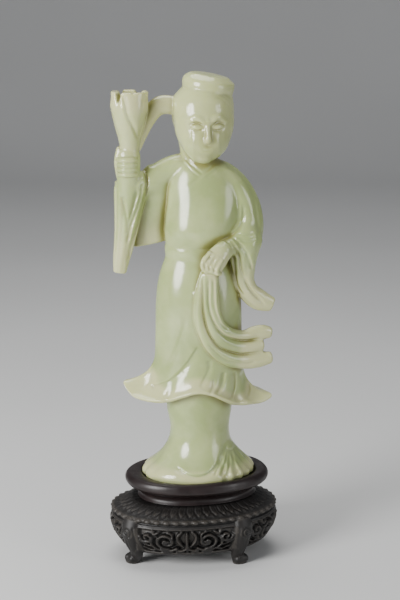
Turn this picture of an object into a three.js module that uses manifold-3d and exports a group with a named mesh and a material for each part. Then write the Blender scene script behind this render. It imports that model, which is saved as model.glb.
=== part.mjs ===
// A Chinese jade carving of a standing lady who holds up a magnolia bud, on a carved hardwood stand.
// Millimetres, +Z up, the figure faces -Y. The lady is carved from one block of pale green jade.
// The stand is an oval tray, with a recess cut to the foot of the jade, on a carved drum with four feet.
import * as THREE from "three";
import { mergeVertices } from "three/addons/utils/BufferGeometryUtils.js";
import Module from "manifold-3d";

const wasm = await Module();
wasm.setup();

// Heights above the table
const DRUM_TOP = 31;
const TRAY_TOP = 43.5;
const RECESS_FLOOR = 41.9;
const APRON_FOOT = 6.5;
const UNDERSIDE_ROOF = 9.5;
const JOINT_GAP = 0.3;
const HIP_HEIGHT = 106;
const SKIRT_TOP = 158;

// Half sizes of the ovals, along X and along Y
const OVAL_SQUARE = 2.15;
const DRUM_OVAL = [43.8, 32.7];
const TRAY_OVAL = [36.9, 27.6];
const JADE_FOOT_OVAL = [29.0, 23.7];

// The lady was drawn up from a station a little to her left, so her own axes are turned by this angle.
// She and the tray stand a little off the middle of the drum.
const STATION_TURN = THREE.MathUtils.degToRad(15);
const LADY_PLACE = [1.16, -0.31];
const TRAY_CENTRE = [0.6, 0.8];
const JADE_CENTRE = [1.3, 0.5];

const DEGREE = Math.PI / 180;
const TOWARDS_VIEWER = new THREE.Vector3(0, -1, 0);
const TANGENT_STEP = 0.004;

// One row of numbers on a smooth curve through equal-length rows, for u from 0 to 1
function between(rows, u, closed = false) {
  const spans = closed ? rows.length : rows.length - 1;
  const place = THREE.MathUtils.clamp(u, 0, 1) * spans;
  const first = Math.min(Math.floor(place), spans - 1);
  const t = place - first;
  const last = rows.length - 1;
  const row = (k) => (closed ? rows[(k + rows.length) % rows.length] : rows[Math.min(Math.max(k, 0), last)]);
  const [a, b, c, d] = [row(first - 1), row(first), row(first + 1), row(first + 2)];
  return b.map((value, k) => {
    const slope0 = (c[k] - a[k]) / 2;
    const slope1 = (d[k] - value) / 2;
    const t2 = t * t;
    const t3 = t2 * t;
    return (2 * t3 - 3 * t2 + 1) * value + (t3 - 2 * t2 + t) * slope0
      + (3 * t2 - 2 * t3) * c[k] + (t3 - t2) * slope1;
  });
}

// A closed solid skinned over rings of equally many points, with a fan at each end
function skin(rings) {
  const count = rings[0].length;
  const points = rings.flat();
  const middle = (ring) => ring.reduce((sum, p) => sum.add(p), new THREE.Vector3()).divideScalar(count);
  points.push(middle(rings[0]), middle(rings.at(-1)));
  const faces = [];
  for (let i = 0; i < rings.length - 1; i++) {
    for (let j = 0; j < count; j++) {
      const [a, b] = [i * count + j, i * count + ((j + 1) % count)];
      faces.push(a, b, b + count, a, b + count, a + count);
    }
  }
  const lastRing = (rings.length - 1) * count;
  for (let j = 0; j < count; j++) {
    const next = (j + 1) % count;
    faces.push(points.length - 2, next, j, points.length - 1, lastRing + j, lastRing + next);
  }
  const geometry = new THREE.BufferGeometry().setFromPoints(points).setIndex(faces);
  return solidOf(geometry);
}

// A closed geometry as a solid with its faces pointing out
function solidOf(geometry) {
  const bare = geometry.clone();
  bare.deleteAttribute("normal");
  bare.deleteAttribute("uv");
  const merged = mergeVertices(bare, 1e-4);
  const corners = new Uint32Array(merged.index.array);
  const build = () => new wasm.Manifold(new wasm.Mesh({
    numProp: 3,
    vertProperties: merged.attributes.position.array,
    triVerts: corners,
  }));
  const solid = build();
  if (solid.volume() > 0) return solid;
  for (let i = 0; i < corners.length; i += 3) [corners[i], corners[i + 1]] = [corners[i + 1], corners[i]];
  return build();
}

function geometryOf(solid) {
  const mesh = solid.getMesh();
  const geometry = new THREE.BufferGeometry();
  geometry.setAttribute("position", new THREE.BufferAttribute(new Float32Array(mesh.vertProperties), 3));
  geometry.setIndex(new THREE.BufferAttribute(mesh.triVerts, 1));
  geometry.computeVertexNormals();
  return geometry;
}

const join = (solids) => solids.reduce((all, solid) => all.add(solid));

// A limb, sleeve, ribbon or petal. Rows are x, y, z, half width, half depth along its middle line.
// At an angle of 90 degrees round its section lies the side that faces the viewer.
function limb(rows, options = {}) {
  const { steps = 8, sides = 12, square = 2, facing = TOWARDS_VIEWER, fold, lift, ends = [0, 0] } = options;
  const rings = [];
  const addRing = (u, slide, scale) => {
    const [x, y, z, width, depth] = between(rows, u);
    const ahead = new THREE.Vector3(...between(rows, u + TANGENT_STEP));
    const behind = new THREE.Vector3(...between(rows, u - TANGENT_STEP));
    const tangent = ahead.sub(behind).normalize();
    const across = new THREE.Vector3().crossVectors(facing, tangent).normalize();
    const outward = new THREE.Vector3().crossVectors(tangent, across);
    const ring = [];
    for (let j = 0; j < sides; j++) {
      const angle = (2 * Math.PI * j) / sides;
      const factor = scale * (fold ? fold(angle, u) : 1);
      const [c, s] = rounded(angle, square);
      ring.push(new THREE.Vector3(x, y, z)
        .addScaledVector(tangent, slide + (lift ? lift(angle, u) : 0))
        .addScaledVector(across, width * c * factor)
        .addScaledVector(outward, depth * s * factor));
    }
    rings.push(ring);
  };
  if (ends[0]) addRing(0, -ends[0], 0.55);
  for (let i = 0; i <= steps; i++) addRing(i / steps, 0, 1);
  if (ends[1]) addRing(1, ends[1], 0.55);
  return skin(rings);
}

// The unit section at an angle: a circle where square is 2, boxier above that
function rounded(angle, square) {
  const [c, s] = [Math.cos(angle), Math.sin(angle)];
  const size = (Math.abs(c) ** square + Math.abs(s) ** square) ** (1 / square);
  return [c / size, s / size];
}

// A standing form of level rings. Rows are z, x, y, half width, half depth.
function standing(rows, options = {}) {
  const { steps = 10, sides = 28, turn = 0, square = 2, form } = options;
  const rings = [];
  for (let i = 0; i <= steps; i++) {
    const u = i / steps;
    const [z, x, y, width, depth] = between(rows, u);
    const ring = [];
    for (let j = 0; j < sides; j++) {
      const angle = (2 * Math.PI * j) / sides;
      const factor = form ? form(angle, u) : 1;
      const [c, s] = rounded(angle, square);
      const [dx, dy] = [width * c * factor, depth * s * factor];
      ring.push(new THREE.Vector3(
        x + dx * Math.cos(turn) - dy * Math.sin(turn),
        y + dx * Math.sin(turn) + dy * Math.cos(turn),
        z,
      ));
    }
    rings.push(ring);
  }
  return skin(rings);
}

// A bump of height 1 round one angle, in degrees, that fades out at the given width
function bump(angle, middle, width) {
  const off = Math.abs(((angle / DEGREE - middle + 540) % 360) - 180) / width;
  return off < 1 ? 0.5 + 0.5 * Math.cos(Math.PI * off) : 0;
}

const fade = THREE.MathUtils.smoothstep;

// The under-robe: a column that flares into the oval foot, with a fan of pleats by the viewer's right
function underRobe() {
  const foot = [
    JADE_CENTRE[0] * Math.cos(STATION_TURN) - JADE_CENTRE[1] * Math.sin(STATION_TURN),
    JADE_CENTRE[0] * Math.sin(STATION_TURN) + JADE_CENTRE[1] * Math.cos(STATION_TURN),
  ];
  const rows = [
    [RECESS_FLOOR + JOINT_GAP, ...foot, JADE_FOOT_OVAL[0] - 0.6, JADE_FOOT_OVAL[1] - 0.6],
    [44.6, ...foot, JADE_FOOT_OVAL[0] - 0.1, JADE_FOOT_OVAL[1] - 0.1],
    [47.2, foot[0], 0.6, 27.2, 22.4],
    [50.2, 1.6, 0.3, 23.6, 19.6],
    [54.5, 1.9, 0, 19.4, 17],
    [60, 1.8, 0, 15.9, 15.2],
    [67, 1.9, 0, 15, 14.2],
    [76, 1.7, 0, 16.5, 13.4],
    [88, 1.6, 0, 17.4, 12.6],
  ];
  const pleats = [-70, -50, -30, -10];
  const form = (angle, u) => {
    const low = 1 - fade(u, 0.3, 0.62);
    const knee = fade(u, 0.12, 0.3) * (1 - fade(u, 0.4, 0.65));
    const fan = pleats.reduce((sum, middle) => sum + bump(angle, middle, 10), 0);
    return 1 - 0.06 * low * fan + 0.04 * knee * bump(angle, -100, 45);
  };
  return standing(rows, { steps: 8, sides: 30, turn: STATION_TURN, form });
}

// The hem of the over-skirt, from the flick on the viewer's left, along the front and round the back
const HEM = [
  [-36.9, -2.5, 90.4], [-32.6, -7, 84.9], [-24, -12, 83.7], [-15.4, -15.5, 84.4], [-7.5, -18, 87.2],
  [0.5, -19.5, 89.8], [8.2, -19, 88.8], [14.4, -16, 85.4], [20.5, -11.5, 82], [28, -6, 80.6],
  [35, -1, 80.2], [38.9, 3.5, 82.2], [33, 9.5, 84], [23, 14, 85], [12, 17, 84],
  [0, 18.4, 83.4], [-12, 17, 84], [-22, 13, 86.5], [-31, 6, 89.5],
];

// The over-skirt: level rings from the waist to the hips, then each line of cloth swings out to the hem
function overSkirt() {
  const body = [
    [SKIRT_TOP, 0.4, 0, 14.6, 11.3],
    [153, 0.7, 0, 16.4, 12.2],
    [147, 1.2, 0, 19, 13.6],
    [139.5, 1.3, 0, 20.7, 14.6],
    [130, 1.3, 0, 21.5, 15],
    [118, 1.3, 0, 21.7, 15],
    [HIP_HEIGHT, 1.2, 0, 21.9, 15],
  ];
  const sides = 26;
  const bodySteps = 4;
  const flareSteps = 3;
  const hemEdge = 1.5;
  const hem = Array.from({ length: sides }, (_, j) => new THREE.Vector3(...between(HEM, j / sides, true)));
  const onBody = (point, u) => {
    const [z, x, y, width, depth] = between(body, u);
    const angle = Math.atan2(point.y - y, point.x - x);
    const reach = 1 / Math.hypot(Math.cos(angle) / width, Math.sin(angle) / depth);
    return new THREE.Vector3(x + reach * Math.cos(angle), y + reach * Math.sin(angle), z);
  };
  const rings = [];
  for (let i = 0; i <= bodySteps; i++) rings.push(hem.map((point) => onBody(point, i / bodySteps)));
  for (let i = 1; i <= flareSteps; i++) {
    const t = i / flareSteps;
    rings.push(hem.map((point) => {
      const start = onBody(point, 1);
      const bend = new THREE.Vector3(start.x, start.y, point.z + 2.5);
      return start
        .multiplyScalar((1 - t) ** 2)
        .addScaledVector(bend, 2 * t * (1 - t))
        .addScaledVector(point, t * t);
    }));
  }
  const inward = (share, drop) => hem.map(({ x, y, z }) => new THREE.Vector3(x * share, y * share, z - drop));
  rings.push(inward(0.97, hemEdge), inward(0.72, -1), inward(0.35, -3));
  return skin(rings);
}

// The belt, the bodice pouched over it, the slope of the shoulders and the neck
function torso() {
  return standing([
    [153.6, 0.5, 0, 14, 10.6],
    [154.6, 0.5, 0, 15.6, 12.1],
    [160.2, 0.5, 0, 16, 12.4],
    [161.4, 0.6, -0.4, 15.8, 12.4],
    [168, 2.4, -0.8, 18, 13.9],
    [175.5, 4, -0.8, 19, 13.6],
    [183, 4.6, -0.5, 19, 12.8],
    [190, 4.2, 0, 18.4, 11.7],
    [195, 3.5, 0.4, 17, 10.6],
    [199, 2.5, 0.8, 14.4, 9.5],
    [202, 1.5, 1, 10.8, 8.4],
    [206, 0.4, 1.4, 8.2, 7.2],
    [212, 0, 2.4, 8.6, 7.2],
    [218, 0.6, 3, 9.2, 7.8],
  ], { steps: 10, sides: 16 });
}

const FACE = [
  [203.4, 3.2, -8.6, 2.4, 2.4],
  [205, 3.4, -6.8, 6, 6.3],
  [208.6, 3.9, -4.6, 9.8, 9.5],
  [213.6, 4, -2.6, 12.7, 12.1],
  [220, 3.8, -1.4, 14.5, 13.6],
  [227, 3.6, -1, 14.9, 14.1],
  [233, 3.7, -0.6, 14, 13.3],
  [238, 4.2, 0, 11, 11],
];
const FACE_TURN = 8;

// A point on the face: degrees round from its middle line, height, and how far it stands out
function onFace(degrees, height, out) {
  let [low, high] = [0, 1];
  while (high - low > 1e-4) {
    const middle = (low + high) / 2;
    if (between(FACE, middle)[0] < height) low = middle;
    else high = middle;
  }
  const [z, x, y, width, depth] = between(FACE, low);
  const angle = (degrees + FACE_TURN - 90) * DEGREE;
  return [x + (width + out) * Math.cos(angle), y + (depth + out) * Math.sin(angle), z];
}

// A small raised feature of the face, from rows of degrees, height, stand-out, half width and depth
function feature(rows, steps, sides) {
  const path = rows.map(([degrees, height, out, ...size]) => [...onFace(degrees, height, out), ...size]);
  return limb(path, { steps, sides });
}

// The face is an egg a little in front of the hair, with a straight nose, lowered lids and a small mouth
function face() {
  const nose = feature([
    [0, 225, -0.6, 0.9, 0.9],
    [0, 219, 0.7, 1.1, 1.3],
    [0, 215, 1.5, 1.9, 1.7],
    [0, 213.2, 0, 1.9, 1],
  ], 4, 6);
  const lid = (side) => feature([
    [side * 12, 220.8, -0.6, 0.6, 0.8],
    [side * 21, 222.2, 0.1, 1.5, 1],
    [side * 31, 221.2, -0.6, 0.6, 0.8],
  ], 4, 6);
  const lips = feature([
    [-12, 209.6, -0.7, 0.6, 0.8],
    [0, 209.4, 0.5, 1.4, 1],
    [12, 209.6, -0.7, 0.6, 0.8],
  ], 4, 6);
  return join([standing(FACE, { steps: 6, sides: 16 }), nose, lid(-1), lid(1), lips]);
}

function hair() {
  const crown = standing([
    [212, 3.2, 4, 9, 8],
    [216, 3.4, 3.6, 12.8, 11.6],
    [221.5, 3.5, 3, 15, 13.6],
    [227.5, 3.4, 2.4, 15.4, 14.6],
    [233, 3.4, 2, 14.8, 14.8],
    [237.5, 4.4, 1.6, 12.4, 13],
    [241, 5.4, 1.2, 9, 9.6],
  ], { steps: 4, sides: 14 });
  const knot = limb([
    [2.6, 13, 215, 3, 3.4],
    [2.8, 15.6, 220, 6, 5.6],
    [3, 16, 226, 6.2, 5.8],
    [3.2, 13.4, 231, 3.4, 3.6],
  ], { steps: 4, sides: 8, ends: [1.2, 1.2] });
  return join([crown, knot]);
}

// The flat round coil on top of the head, tipped towards the viewer's right
function headdress() {
  return limb([
    [5.2, 1, 235.4, 10.4, 10],
    [5.4, 1, 236.8, 12.3, 11.6],
    [5.9, 1, 239.2, 12.9, 12.2],
    [6.3, 1, 242, 12.5, 11.8],
    [6.7, 1, 244.2, 9.8, 9.2],
  ], { steps: 4, sides: 16, ends: [0.4, 0.5] });
}

// The raised arm: upper arm, the hanging inner side of the sleeve, and the long outer fall of the cuff
function raisedArm() {
  const upper = limb([
    [-1, 1, 199, 6, 7],
    [-8.5, 1.5, 199.3, 6.3, 7],
    [-16, 1.2, 196, 6.6, 6.4],
    [-23, -0.5, 191.6, 6.6, 6],
    [-29, -2, 188, 6, 5],
  ], { steps: 4, sides: 10 });
  const inner = limb([
    [-18, 1, 198, 6, 5.2],
    [-21.5, 1.2, 188, 9, 5.4],
    [-24.4, 2, 177, 9.6, 4.8],
    [-24.6, 2.4, 168, 9, 4],
    [-23, 2.4, 160.2, 8.2, 2.6],
  ], { steps: 4, sides: 10, square: 2.6 });
  const folds = (angle, u) => 1 - 0.12 * fade(u, 0, 0.3) * (bump(angle, 70, 16) + bump(angle, 112, 16));
  const cuff = limb([
    [-33.6, -4, 195.5, 7.4, 5],
    [-31.8, -4.6, 191, 8.6, 6],
    [-32.4, -5, 185, 7.9, 5.8],
    [-33.3, -5, 177.5, 6.9, 5.2],
    [-34.3, -5, 169.5, 5.9, 4.6],
    [-35.6, -5, 161, 5, 3.8],
    [-37, -5, 153, 4.1, 3],
    [-37.8, -5, 147, 3.2, 2.2],
  ], { steps: 5, sides: 14, fold: folds });
  return join([upper, inner, cuff]);
}

// The fist round the stem: a palm, four fingers across the front, and a thumb up the outer side
function raisedHand() {
  const palm = limb([
    [-33.3, -6, 186, 5.4, 4.4],
    [-33, -6.3, 194, 5.6, 4.8],
    [-32.8, -6.5, 201, 5.7, 5],
    [-33, -6.4, 206, 5.9, 4.6],
    [-33, -6, 209, 5, 3.8],
  ], { steps: 3, sides: 8 });
  const fingerTop = 204.4;
  const fingerPitch = 2.4;
  const fingers = [0, 1, 2, 3].map((k) => {
    const z = fingerTop - k * fingerPitch;
    return limb([
      [-29.6, -7.4, z, 1, 1.1],
      [-29.8, -10.6, z, 1.12, 1.4],
      [-34.6, -11.4, z, 1.12, 1.4],
      [-37.4, -9, z, 1, 1.1],
    ], { steps: 3, sides: 6, ends: [0, 0.5] });
  });
  const thumb = limb([
    [-37.4, -6, 195, 1.4, 1.8],
    [-38.2, -6.8, 202, 1.7, 2],
    [-37.6, -6.8, 209.2, 1.4, 1.6],
  ], { steps: 3, sides: 6, ends: [0, 0.8] });
  return join([palm, ...fingers, thumb]);
}

// The magnolia bud, hollow between its petals, and the leaf stalk that bridges to the hair
function bud() {
  const petals = 5;
  const rimStart = 0.72;
  const lobes = (angle, u) => 1 + 0.05 * fade(u, 0.3, 0.8) * Math.cos(petals * (angle - 62 * DEGREE));
  const tips = (angle, u) => {
    const notch = Math.abs(Math.sin((petals * (angle - 62 * DEGREE)) / 2)) ** 6;
    return -4.2 * fade(u, rimStart, 1) * notch;
  };
  const outer = limb([
    [-32.4, -6, 206, 4.2, 4],
    [-32.3, -6, 210.6, 4.8, 4.3],
    [-32.3, -6, 214.8, 5.7, 5],
    [-32.4, -6, 219.4, 7, 6],
    [-32.4, -6, 224.3, 8.3, 7],
    [-32.3, -6, 229.2, 9, 7.8],
    [-32.2, -6, 233.5, 9, 7.8],
    [-32.2, -6, 238, 8.6, 7.4],
  ], { steps: 4, sides: 20, fold: lobes, lift: tips });
  const hollow = limb([
    [-32.3, -6, 228.5, 2, 1.6],
    [-32.3, -6, 232, 5.2, 4.2],
    [-32.3, -6, 236, 6.6, 5.4],
    [-32.3, -6, 242, 7.6, 6.2],
  ], { steps: 3, sides: 10 });
  const stalk = limb([
    [-29.4, -3.5, 208.5, 2.4, 2.6],
    [-26.8, -2.5, 215, 2.8, 2.8],
    [-23.7, -1.5, 222.6, 3.8, 3],
    [-19.8, -0.5, 228.2, 4.5, 3.2],
    [-15.2, 0.2, 230, 4.7, 3.4],
    [-9, 1, 229, 4.4, 3.4],
  ], { steps: 5, sides: 8 });
  return join([outer.subtract(hollow), stalk]);
}

// The lowered arm: the sleeve rounds the shoulder and elbow, the forearm crosses to the waist
function loweredArm() {
  const upper = limb([
    [6, 0.6, 198, 6, 7.4],
    [13.5, 0.8, 195.4, 6.4, 7.8],
    [19.5, 1, 188.6, 7.6, 8.4],
    [23.2, 1, 179.5, 8.7, 8.8],
    [24.6, 1, 170, 9, 8.8],
    [23.8, 0.4, 161, 8.6, 8],
  ], { steps: 6, sides: 12 });
  const forearm = limb([
    [26, 1, 165.5, 5.4, 6],
    [20.6, -6, 162.6, 5.2, 5.4],
    [15, -12.4, 160.6, 4.8, 4.6],
    [11, -15.6, 159.4, 4.4, 3.6],
  ], { steps: 3, sides: 10 });
  const folds = (angle) => 1 - 0.1 * (bump(angle, 75, 14) + bump(angle, 105, 14));
  const fall = limb([
    [23.6, -1, 173, 6, 6],
    [23.2, -4.4, 164, 9.7, 7.4],
    [23.3, -5.8, 156, 7.4, 6.2],
    [23.5, -6, 149, 5.8, 4.8],
    [24, -5.8, 142.6, 5.5, 4],
    [27, -5, 136.8, 5.4, 3.4],
    [31.8, -3.8, 132.8, 5.4, 2.8],
    [38.4, -2.2, 130.2, 3.6, 2],
  ], { steps: 6, sides: 14, fold: folds });
  return join([upper, forearm, fall]);
}

// The hand at the waist, back outwards, fingers curled down over the sash
function loweredHand() {
  const back = limb([
    [14.4, -13.4, 160.4, 4.2, 3.4],
    [10.6, -15.4, 158.8, 4.6, 3.4],
    [7.4, -16, 156, 4.4, 3.2],
    [6.2, -15.6, 152.6, 3.8, 2.8],
  ], { steps: 3, sides: 10, ends: [0, 0.8] });
  const fingers = [0, 1, 2, 3].map((k) => limb([
    [6.4 + 1.7 * k, -17.4 - 0.2 * k, 159.4 - 1.1 * k, 1, 1.5],
    [3.6 + 1.9 * k, -18.6 - 0.2 * k, 156 - 1.2 * k, 1.15, 1.5],
    [3.4 + 2 * k, -18.4, 152 - 0.6 * k, 1.1, 1.5],
    [5.4 + 1.8 * k, -17, 148.8 - 0.2 * k, 1, 1.3],
  ], { steps: 3, sides: 6, ends: [0, 0.5] }));
  return join([back, ...fingers]);
}

// The sash: folded strands from the hand, which sweep off the skirt to two blunt ends
function sash() {
  const upper = [
    [8.6, -15.6, 150, 2.6, 2.6],
    [8.8, -15.6, 140, 2.4, 2.6],
    [9.6, -15.2, 130.4, 2.4, 2.8],
    [12.2, -13.8, 122.6, 2.6, 2.9],
    [17.6, -11.2, 117.8, 2.6, 2.9],
    [23.8, -8, 115.9, 2.6, 2.8],
    [29, -6, 116.9, 3.3, 2.6],
    [33.6, -5, 116.8, 3.8, 2.4],
    [37.2, -4.4, 116.4, 2.9, 1.8],
  ];
  const middle = [
    [6.8, -15.8, 150, 2.4, 2.4],
    [5.4, -15.8, 140, 2.6, 2.6],
    [6, -15.6, 129.6, 2.7, 2.8],
    [8.6, -15, 120.6, 2.9, 2.9],
    [14.2, -12.8, 113.8, 3.2, 2.9],
    [21.8, -9, 110.3, 3.3, 2.8],
    [28, -7, 109.9, 3.3, 2.6],
    [33.2, -5.8, 110.4, 2.6, 1.8],
  ];
  const lower = [
    [4.6, -15.6, 149, 2.4, 2.2],
    [2.2, -15.8, 139, 2.8, 2.5],
    [1.6, -15.8, 128, 3, 2.6],
    [4, -15.6, 118.6, 3.4, 2.8],
    [8.6, -14.8, 110.8, 3.9, 2.9],
    [15.8, -12, 105.2, 4.2, 2.9],
    [23.8, -8.6, 102.9, 4.2, 2.8],
    [31, -6.4, 102.8, 4.1, 2.5],
    [37.4, -5, 103.8, 3.2, 1.8],
  ];
  const ends = [0.5, 0.8];
  const strands = [upper, middle, lower].map((rows) => limb(rows, { steps: 7, sides: 6, ends }));
  const cloth = limb([
    [6.8, -14.4, 152, 3.6, 2.4],
    [5.8, -14.8, 140, 5.4, 2.6],
    [6.2, -14.8, 129, 5.6, 2.8],
    [9.2, -14, 118.6, 6.2, 2.8],
    [14.6, -11.4, 111.8, 7.4, 2.8],
    [22, -7.8, 109, 7.6, 2.6],
    [28.6, -6, 109.2, 7, 2],
    [33, -5.4, 109.6, 5.2, 1.4],
  ], { steps: 6, sides: 6 });
  return join([...strands, cloth]);
}

function jadeLady() {
  return join([
    underRobe(), overSkirt(), torso(), face(), hair(), headdress(),
    raisedArm(), raisedHand(), bud(), loweredArm(), loweredHand(), sash(),
  ]);
}

// A solid of level ovals. Rows are height, half width, half depth and the middle.
function ovals(rows, sides, form) {
  const rings = rows.map(([z, width, depth, x = 0, y = 0]) => Array.from({ length: sides }, (_, j) => {
    const angle = (2 * Math.PI * j) / sides;
    const factor = form ? form(angle, z) : 1;
    const [c, s] = rounded(angle, OVAL_SQUARE);
    return new THREE.Vector3(x + width * c * factor, y + depth * s * factor, z);
  }));
  return skin(rings);
}

// The tray and its waist: up the outside, over the rim, down into the recess
function stand_tray() {
  const [width, depth] = TRAY_OVAL;
  const recess = [JADE_CENTRE[0] - TRAY_CENTRE[0], JADE_CENTRE[1] - TRAY_CENTRE[1]];
  const inside = [JADE_FOOT_OVAL[0] + JOINT_GAP, JADE_FOOT_OVAL[1] + JOINT_GAP];
  return ovals([
    [DRUM_TOP + JOINT_GAP, 30.5, 22.4],
    [33.2, 29.4, 21.4],
    [35.6, 30.6, 22.6],
    [37, 34, 25.6],
    [38.6, 36.2, 27.7],
    [40.6, width, depth],
    [42.3, width - 0.6, depth - 0.5],
    [43.3, width - 1.8, depth - 1.4],
    [TRAY_TOP, width - 3, depth - 2.2],
    [TRAY_TOP - 0.2, inside[0] + 0.5, inside[1] + 0.2, ...recess],
    [RECESS_FLOOR, ...inside, ...recess],
  ], 28);
}

// Each leg's post and its toe, as angles on the oval
const LEG_ANGLES = [[-150, -159], [-65, -62], [30, 21], [115, 118]];
const POST_WIDTH = 17;

// The carved frieze: its foot and head, how far its ground is sunk, and the scrolls on it
const FRIEZE = [8.8, 22.6];
const FRIEZE_DEPTH = 0.045;
const SCROLLS_PER_PANEL = 2;
const PANEL_MARGIN = 12;
const SCROLL_HEIGHT = 15.4;
const SCROLL_EYE = 1.4;
const SCROLL_REACH = 5.6;
const SCROLL_TURN = 1.6 * Math.PI;
const SCROLL_WIDTH = 1.25;
const SCROLL_DEPTH = 2;
const SCROLL_SINK = -1.1;
const MM_PER_DEGREE = 0.66;

// The outside of the drum from the apron to the shoulder: height, half width, half depth
const DRUM_PROFILE = [
  [APRON_FOOT, 35.6, 26],
  [8.6, 38.4, 28.4],
  [9.4, 38.9, 28.8],
  [14, DRUM_OVAL[0] - 1.9, DRUM_OVAL[1] - 1.4],
  [19, DRUM_OVAL[0] - 0.4, DRUM_OVAL[1] - 0.3],
  [22.4, DRUM_OVAL[0] - 1, DRUM_OVAL[1] - 0.7],
  [22.9, DRUM_OVAL[0] - 1.2, DRUM_OVAL[1] - 0.9],
  [24.6, DRUM_OVAL[0] - 2.4, DRUM_OVAL[1] - 1.9],
  [25.3, DRUM_OVAL[0] - 1.7, DRUM_OVAL[1] - 1.1],
  [26.6, DRUM_OVAL[0] - 2.2, DRUM_OVAL[1] - 1.7],
  [28.4, 37, 27],
  [DRUM_TOP, 31.6, 23],
];

// A point at an angle on an oval of the given half sizes, pushed out by a given amount
function onOval(degrees, [width, depth], z, push = 0) {
  const [c, s] = rounded(degrees * DEGREE, OVAL_SQUARE);
  const normal = new THREE.Vector2(c / width, s / depth).normalize();
  return [width * c + normal.x * push, depth * s + normal.y * push, z];
}

// The half sizes of the drum at a height
function drumSize(z) {
  const above = Math.max(1, DRUM_PROFILE.findIndex(([height]) => height >= z));
  const [low, high] = [DRUM_PROFILE[above - 1], DRUM_PROFILE[above]];
  const t = (z - low[0]) / (high[0] - low[0]);
  return [THREE.MathUtils.lerp(low[1], high[1], t), THREE.MathUtils.lerp(low[2], high[2], t)];
}

function outwardAt(degrees) {
  const angle = degrees * DEGREE;
  return new THREE.Vector3(Math.cos(angle) / DRUM_OVAL[0], Math.sin(angle) / DRUM_OVAL[1], 0).normalize();
}

// A cabriole leg with a lifted toe and a flat sole on the table
function leg([post, toe]) {
  const place = (degrees, share, z, width, depth) => [
    ...onOval(degrees, DRUM_OVAL.map((half) => half * share), z), width, depth,
  ];
  return limb([
    place(post, 0.93, 25, 4.4, 2.6),
    place(post, 0.965, 20, 4.8, 3),
    place(post, 0.94, 14, 4.4, 3),
    place(post, 0.88, 8.5, 3.8, 2.9),
    place((post + toe) / 2, 0.82, 4.6, 3.4, 2.8),
    place(toe, 0.83, 1.8, 3.8, 3.2),
    place(toe, 0.84, -1, 3.7, 3.1),
  ], { steps: 6, sides: 8, facing: outwardAt(post) });
}

// A scroll of the carved frieze: a curl that opens out, lying on the drum, turned one way or the other
function scroll(degrees, way) {
  const stations = 8;
  const rows = Array.from({ length: stations + 1 }, (_, i) => {
    const t = i / stations;
    const radius = THREE.MathUtils.lerp(SCROLL_EYE, SCROLL_REACH, t);
    const angle = degrees + (way * radius * Math.cos(SCROLL_TURN * t)) / MM_PER_DEGREE;
    const z = SCROLL_HEIGHT + radius * Math.sin(SCROLL_TURN * t);
    return [...onOval(angle, drumSize(z), z, SCROLL_SINK), SCROLL_WIDTH, SCROLL_DEPTH];
  });
  return limb(rows, { steps: stations, sides: 4, facing: outwardAt(degrees) });
}

// The leaf between the two scrolls of a panel
function leaf(degrees) {
  const rows = [[10, 1.2], [13, 2.4], [17, 2.2], [21.4, 0.9]].map(([z, width]) => [
    ...onOval(degrees, drumSize(z), z, SCROLL_SINK), width, SCROLL_DEPTH,
  ]);
  return limb(rows, { steps: 3, sides: 6, facing: outwardAt(degrees) });
}

// Between each pair of legs, scrolls on both sides of a leaf
function frieze() {
  return LEG_ANGLES.flatMap(([start], k) => {
    const end = k + 1 < LEG_ANGLES.length ? LEG_ANGLES[k + 1][0] : LEG_ANGLES[0][0] + 360;
    const step = (end - start - 2 * PANEL_MARGIN) / SCROLLS_PER_PANEL;
    const scrolls = Array.from({ length: SCROLLS_PER_PANEL }, (_, i) => (
      scroll(start + PANEL_MARGIN + step * (i + 0.5), i % 2 ? 1 : -1)
    ));
    return [...scrolls, leaf((start + end) / 2)];
  });
}

// The drum: a shallow hollow underneath, a sunk frieze between rails, a moulded edge, a sloping shoulder
function stand_drum() {
  const sunk = (angle, z) => {
    if (z < FRIEZE[0] || z > FRIEZE[1]) return 1;
    const post = LEG_ANGLES.reduce((sum, [middle]) => Math.max(sum, bump(angle, middle, POST_WIDTH)), 0);
    return 1 - FRIEZE_DEPTH * (1 - fade(post, 0.1, 0.6));
  };
  const body = ovals([
    [UNDERSIDE_ROOF, 29, 20],
    [APRON_FOOT + 0.4, 32.4, 23.2],
    ...DRUM_PROFILE,
  ], 32, sunk);
  const table = new THREE.BoxGeometry(3 * DRUM_OVAL[0], 3 * DRUM_OVAL[1], DRUM_TOP);
  table.translate(0, 0, -DRUM_TOP / 2);
  return join([body, ...LEG_ANGLES.map(leg), ...frieze()]).subtract(solidOf(table));
}

const jade = new THREE.MeshStandardMaterial({ color: 0xb9c79a, roughness: 0.18, metalness: 0 });
const trayWood = new THREE.MeshStandardMaterial({ color: 0x2a1714, roughness: 0.38, metalness: 0 });
const drumWood = new THREE.MeshStandardMaterial({ color: 0x211712, roughness: 0.5, metalness: 0 });

function piece(name, solid, material) {
  const mesh = new THREE.Mesh(geometryOf(solid), material);
  mesh.name = name;
  return mesh;
}

const lady = piece("jade_lady", jadeLady(), jade);
lady.rotation.z = -STATION_TURN;
lady.position.set(...LADY_PLACE, 0);

const tray = piece("stand_tray", stand_tray(), trayWood);
tray.position.set(LADY_PLACE[0] + TRAY_CENTRE[0], LADY_PLACE[1] + TRAY_CENTRE[1], 0);
const drum = piece("stand_drum", stand_drum(), drumWood);

// The origin is under the middle of the whole object's box, on the table
const whole = new THREE.Group();
whole.add(lady, tray, drum);
const box = new THREE.Box3().setFromObject(whole, true);
whole.position.set(-(box.min.x + box.max.x) / 2, -(box.min.y + box.max.y) / 2, -box.min.z);

const object = new THREE.Group();
object.add(whole);
export default object;
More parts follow.
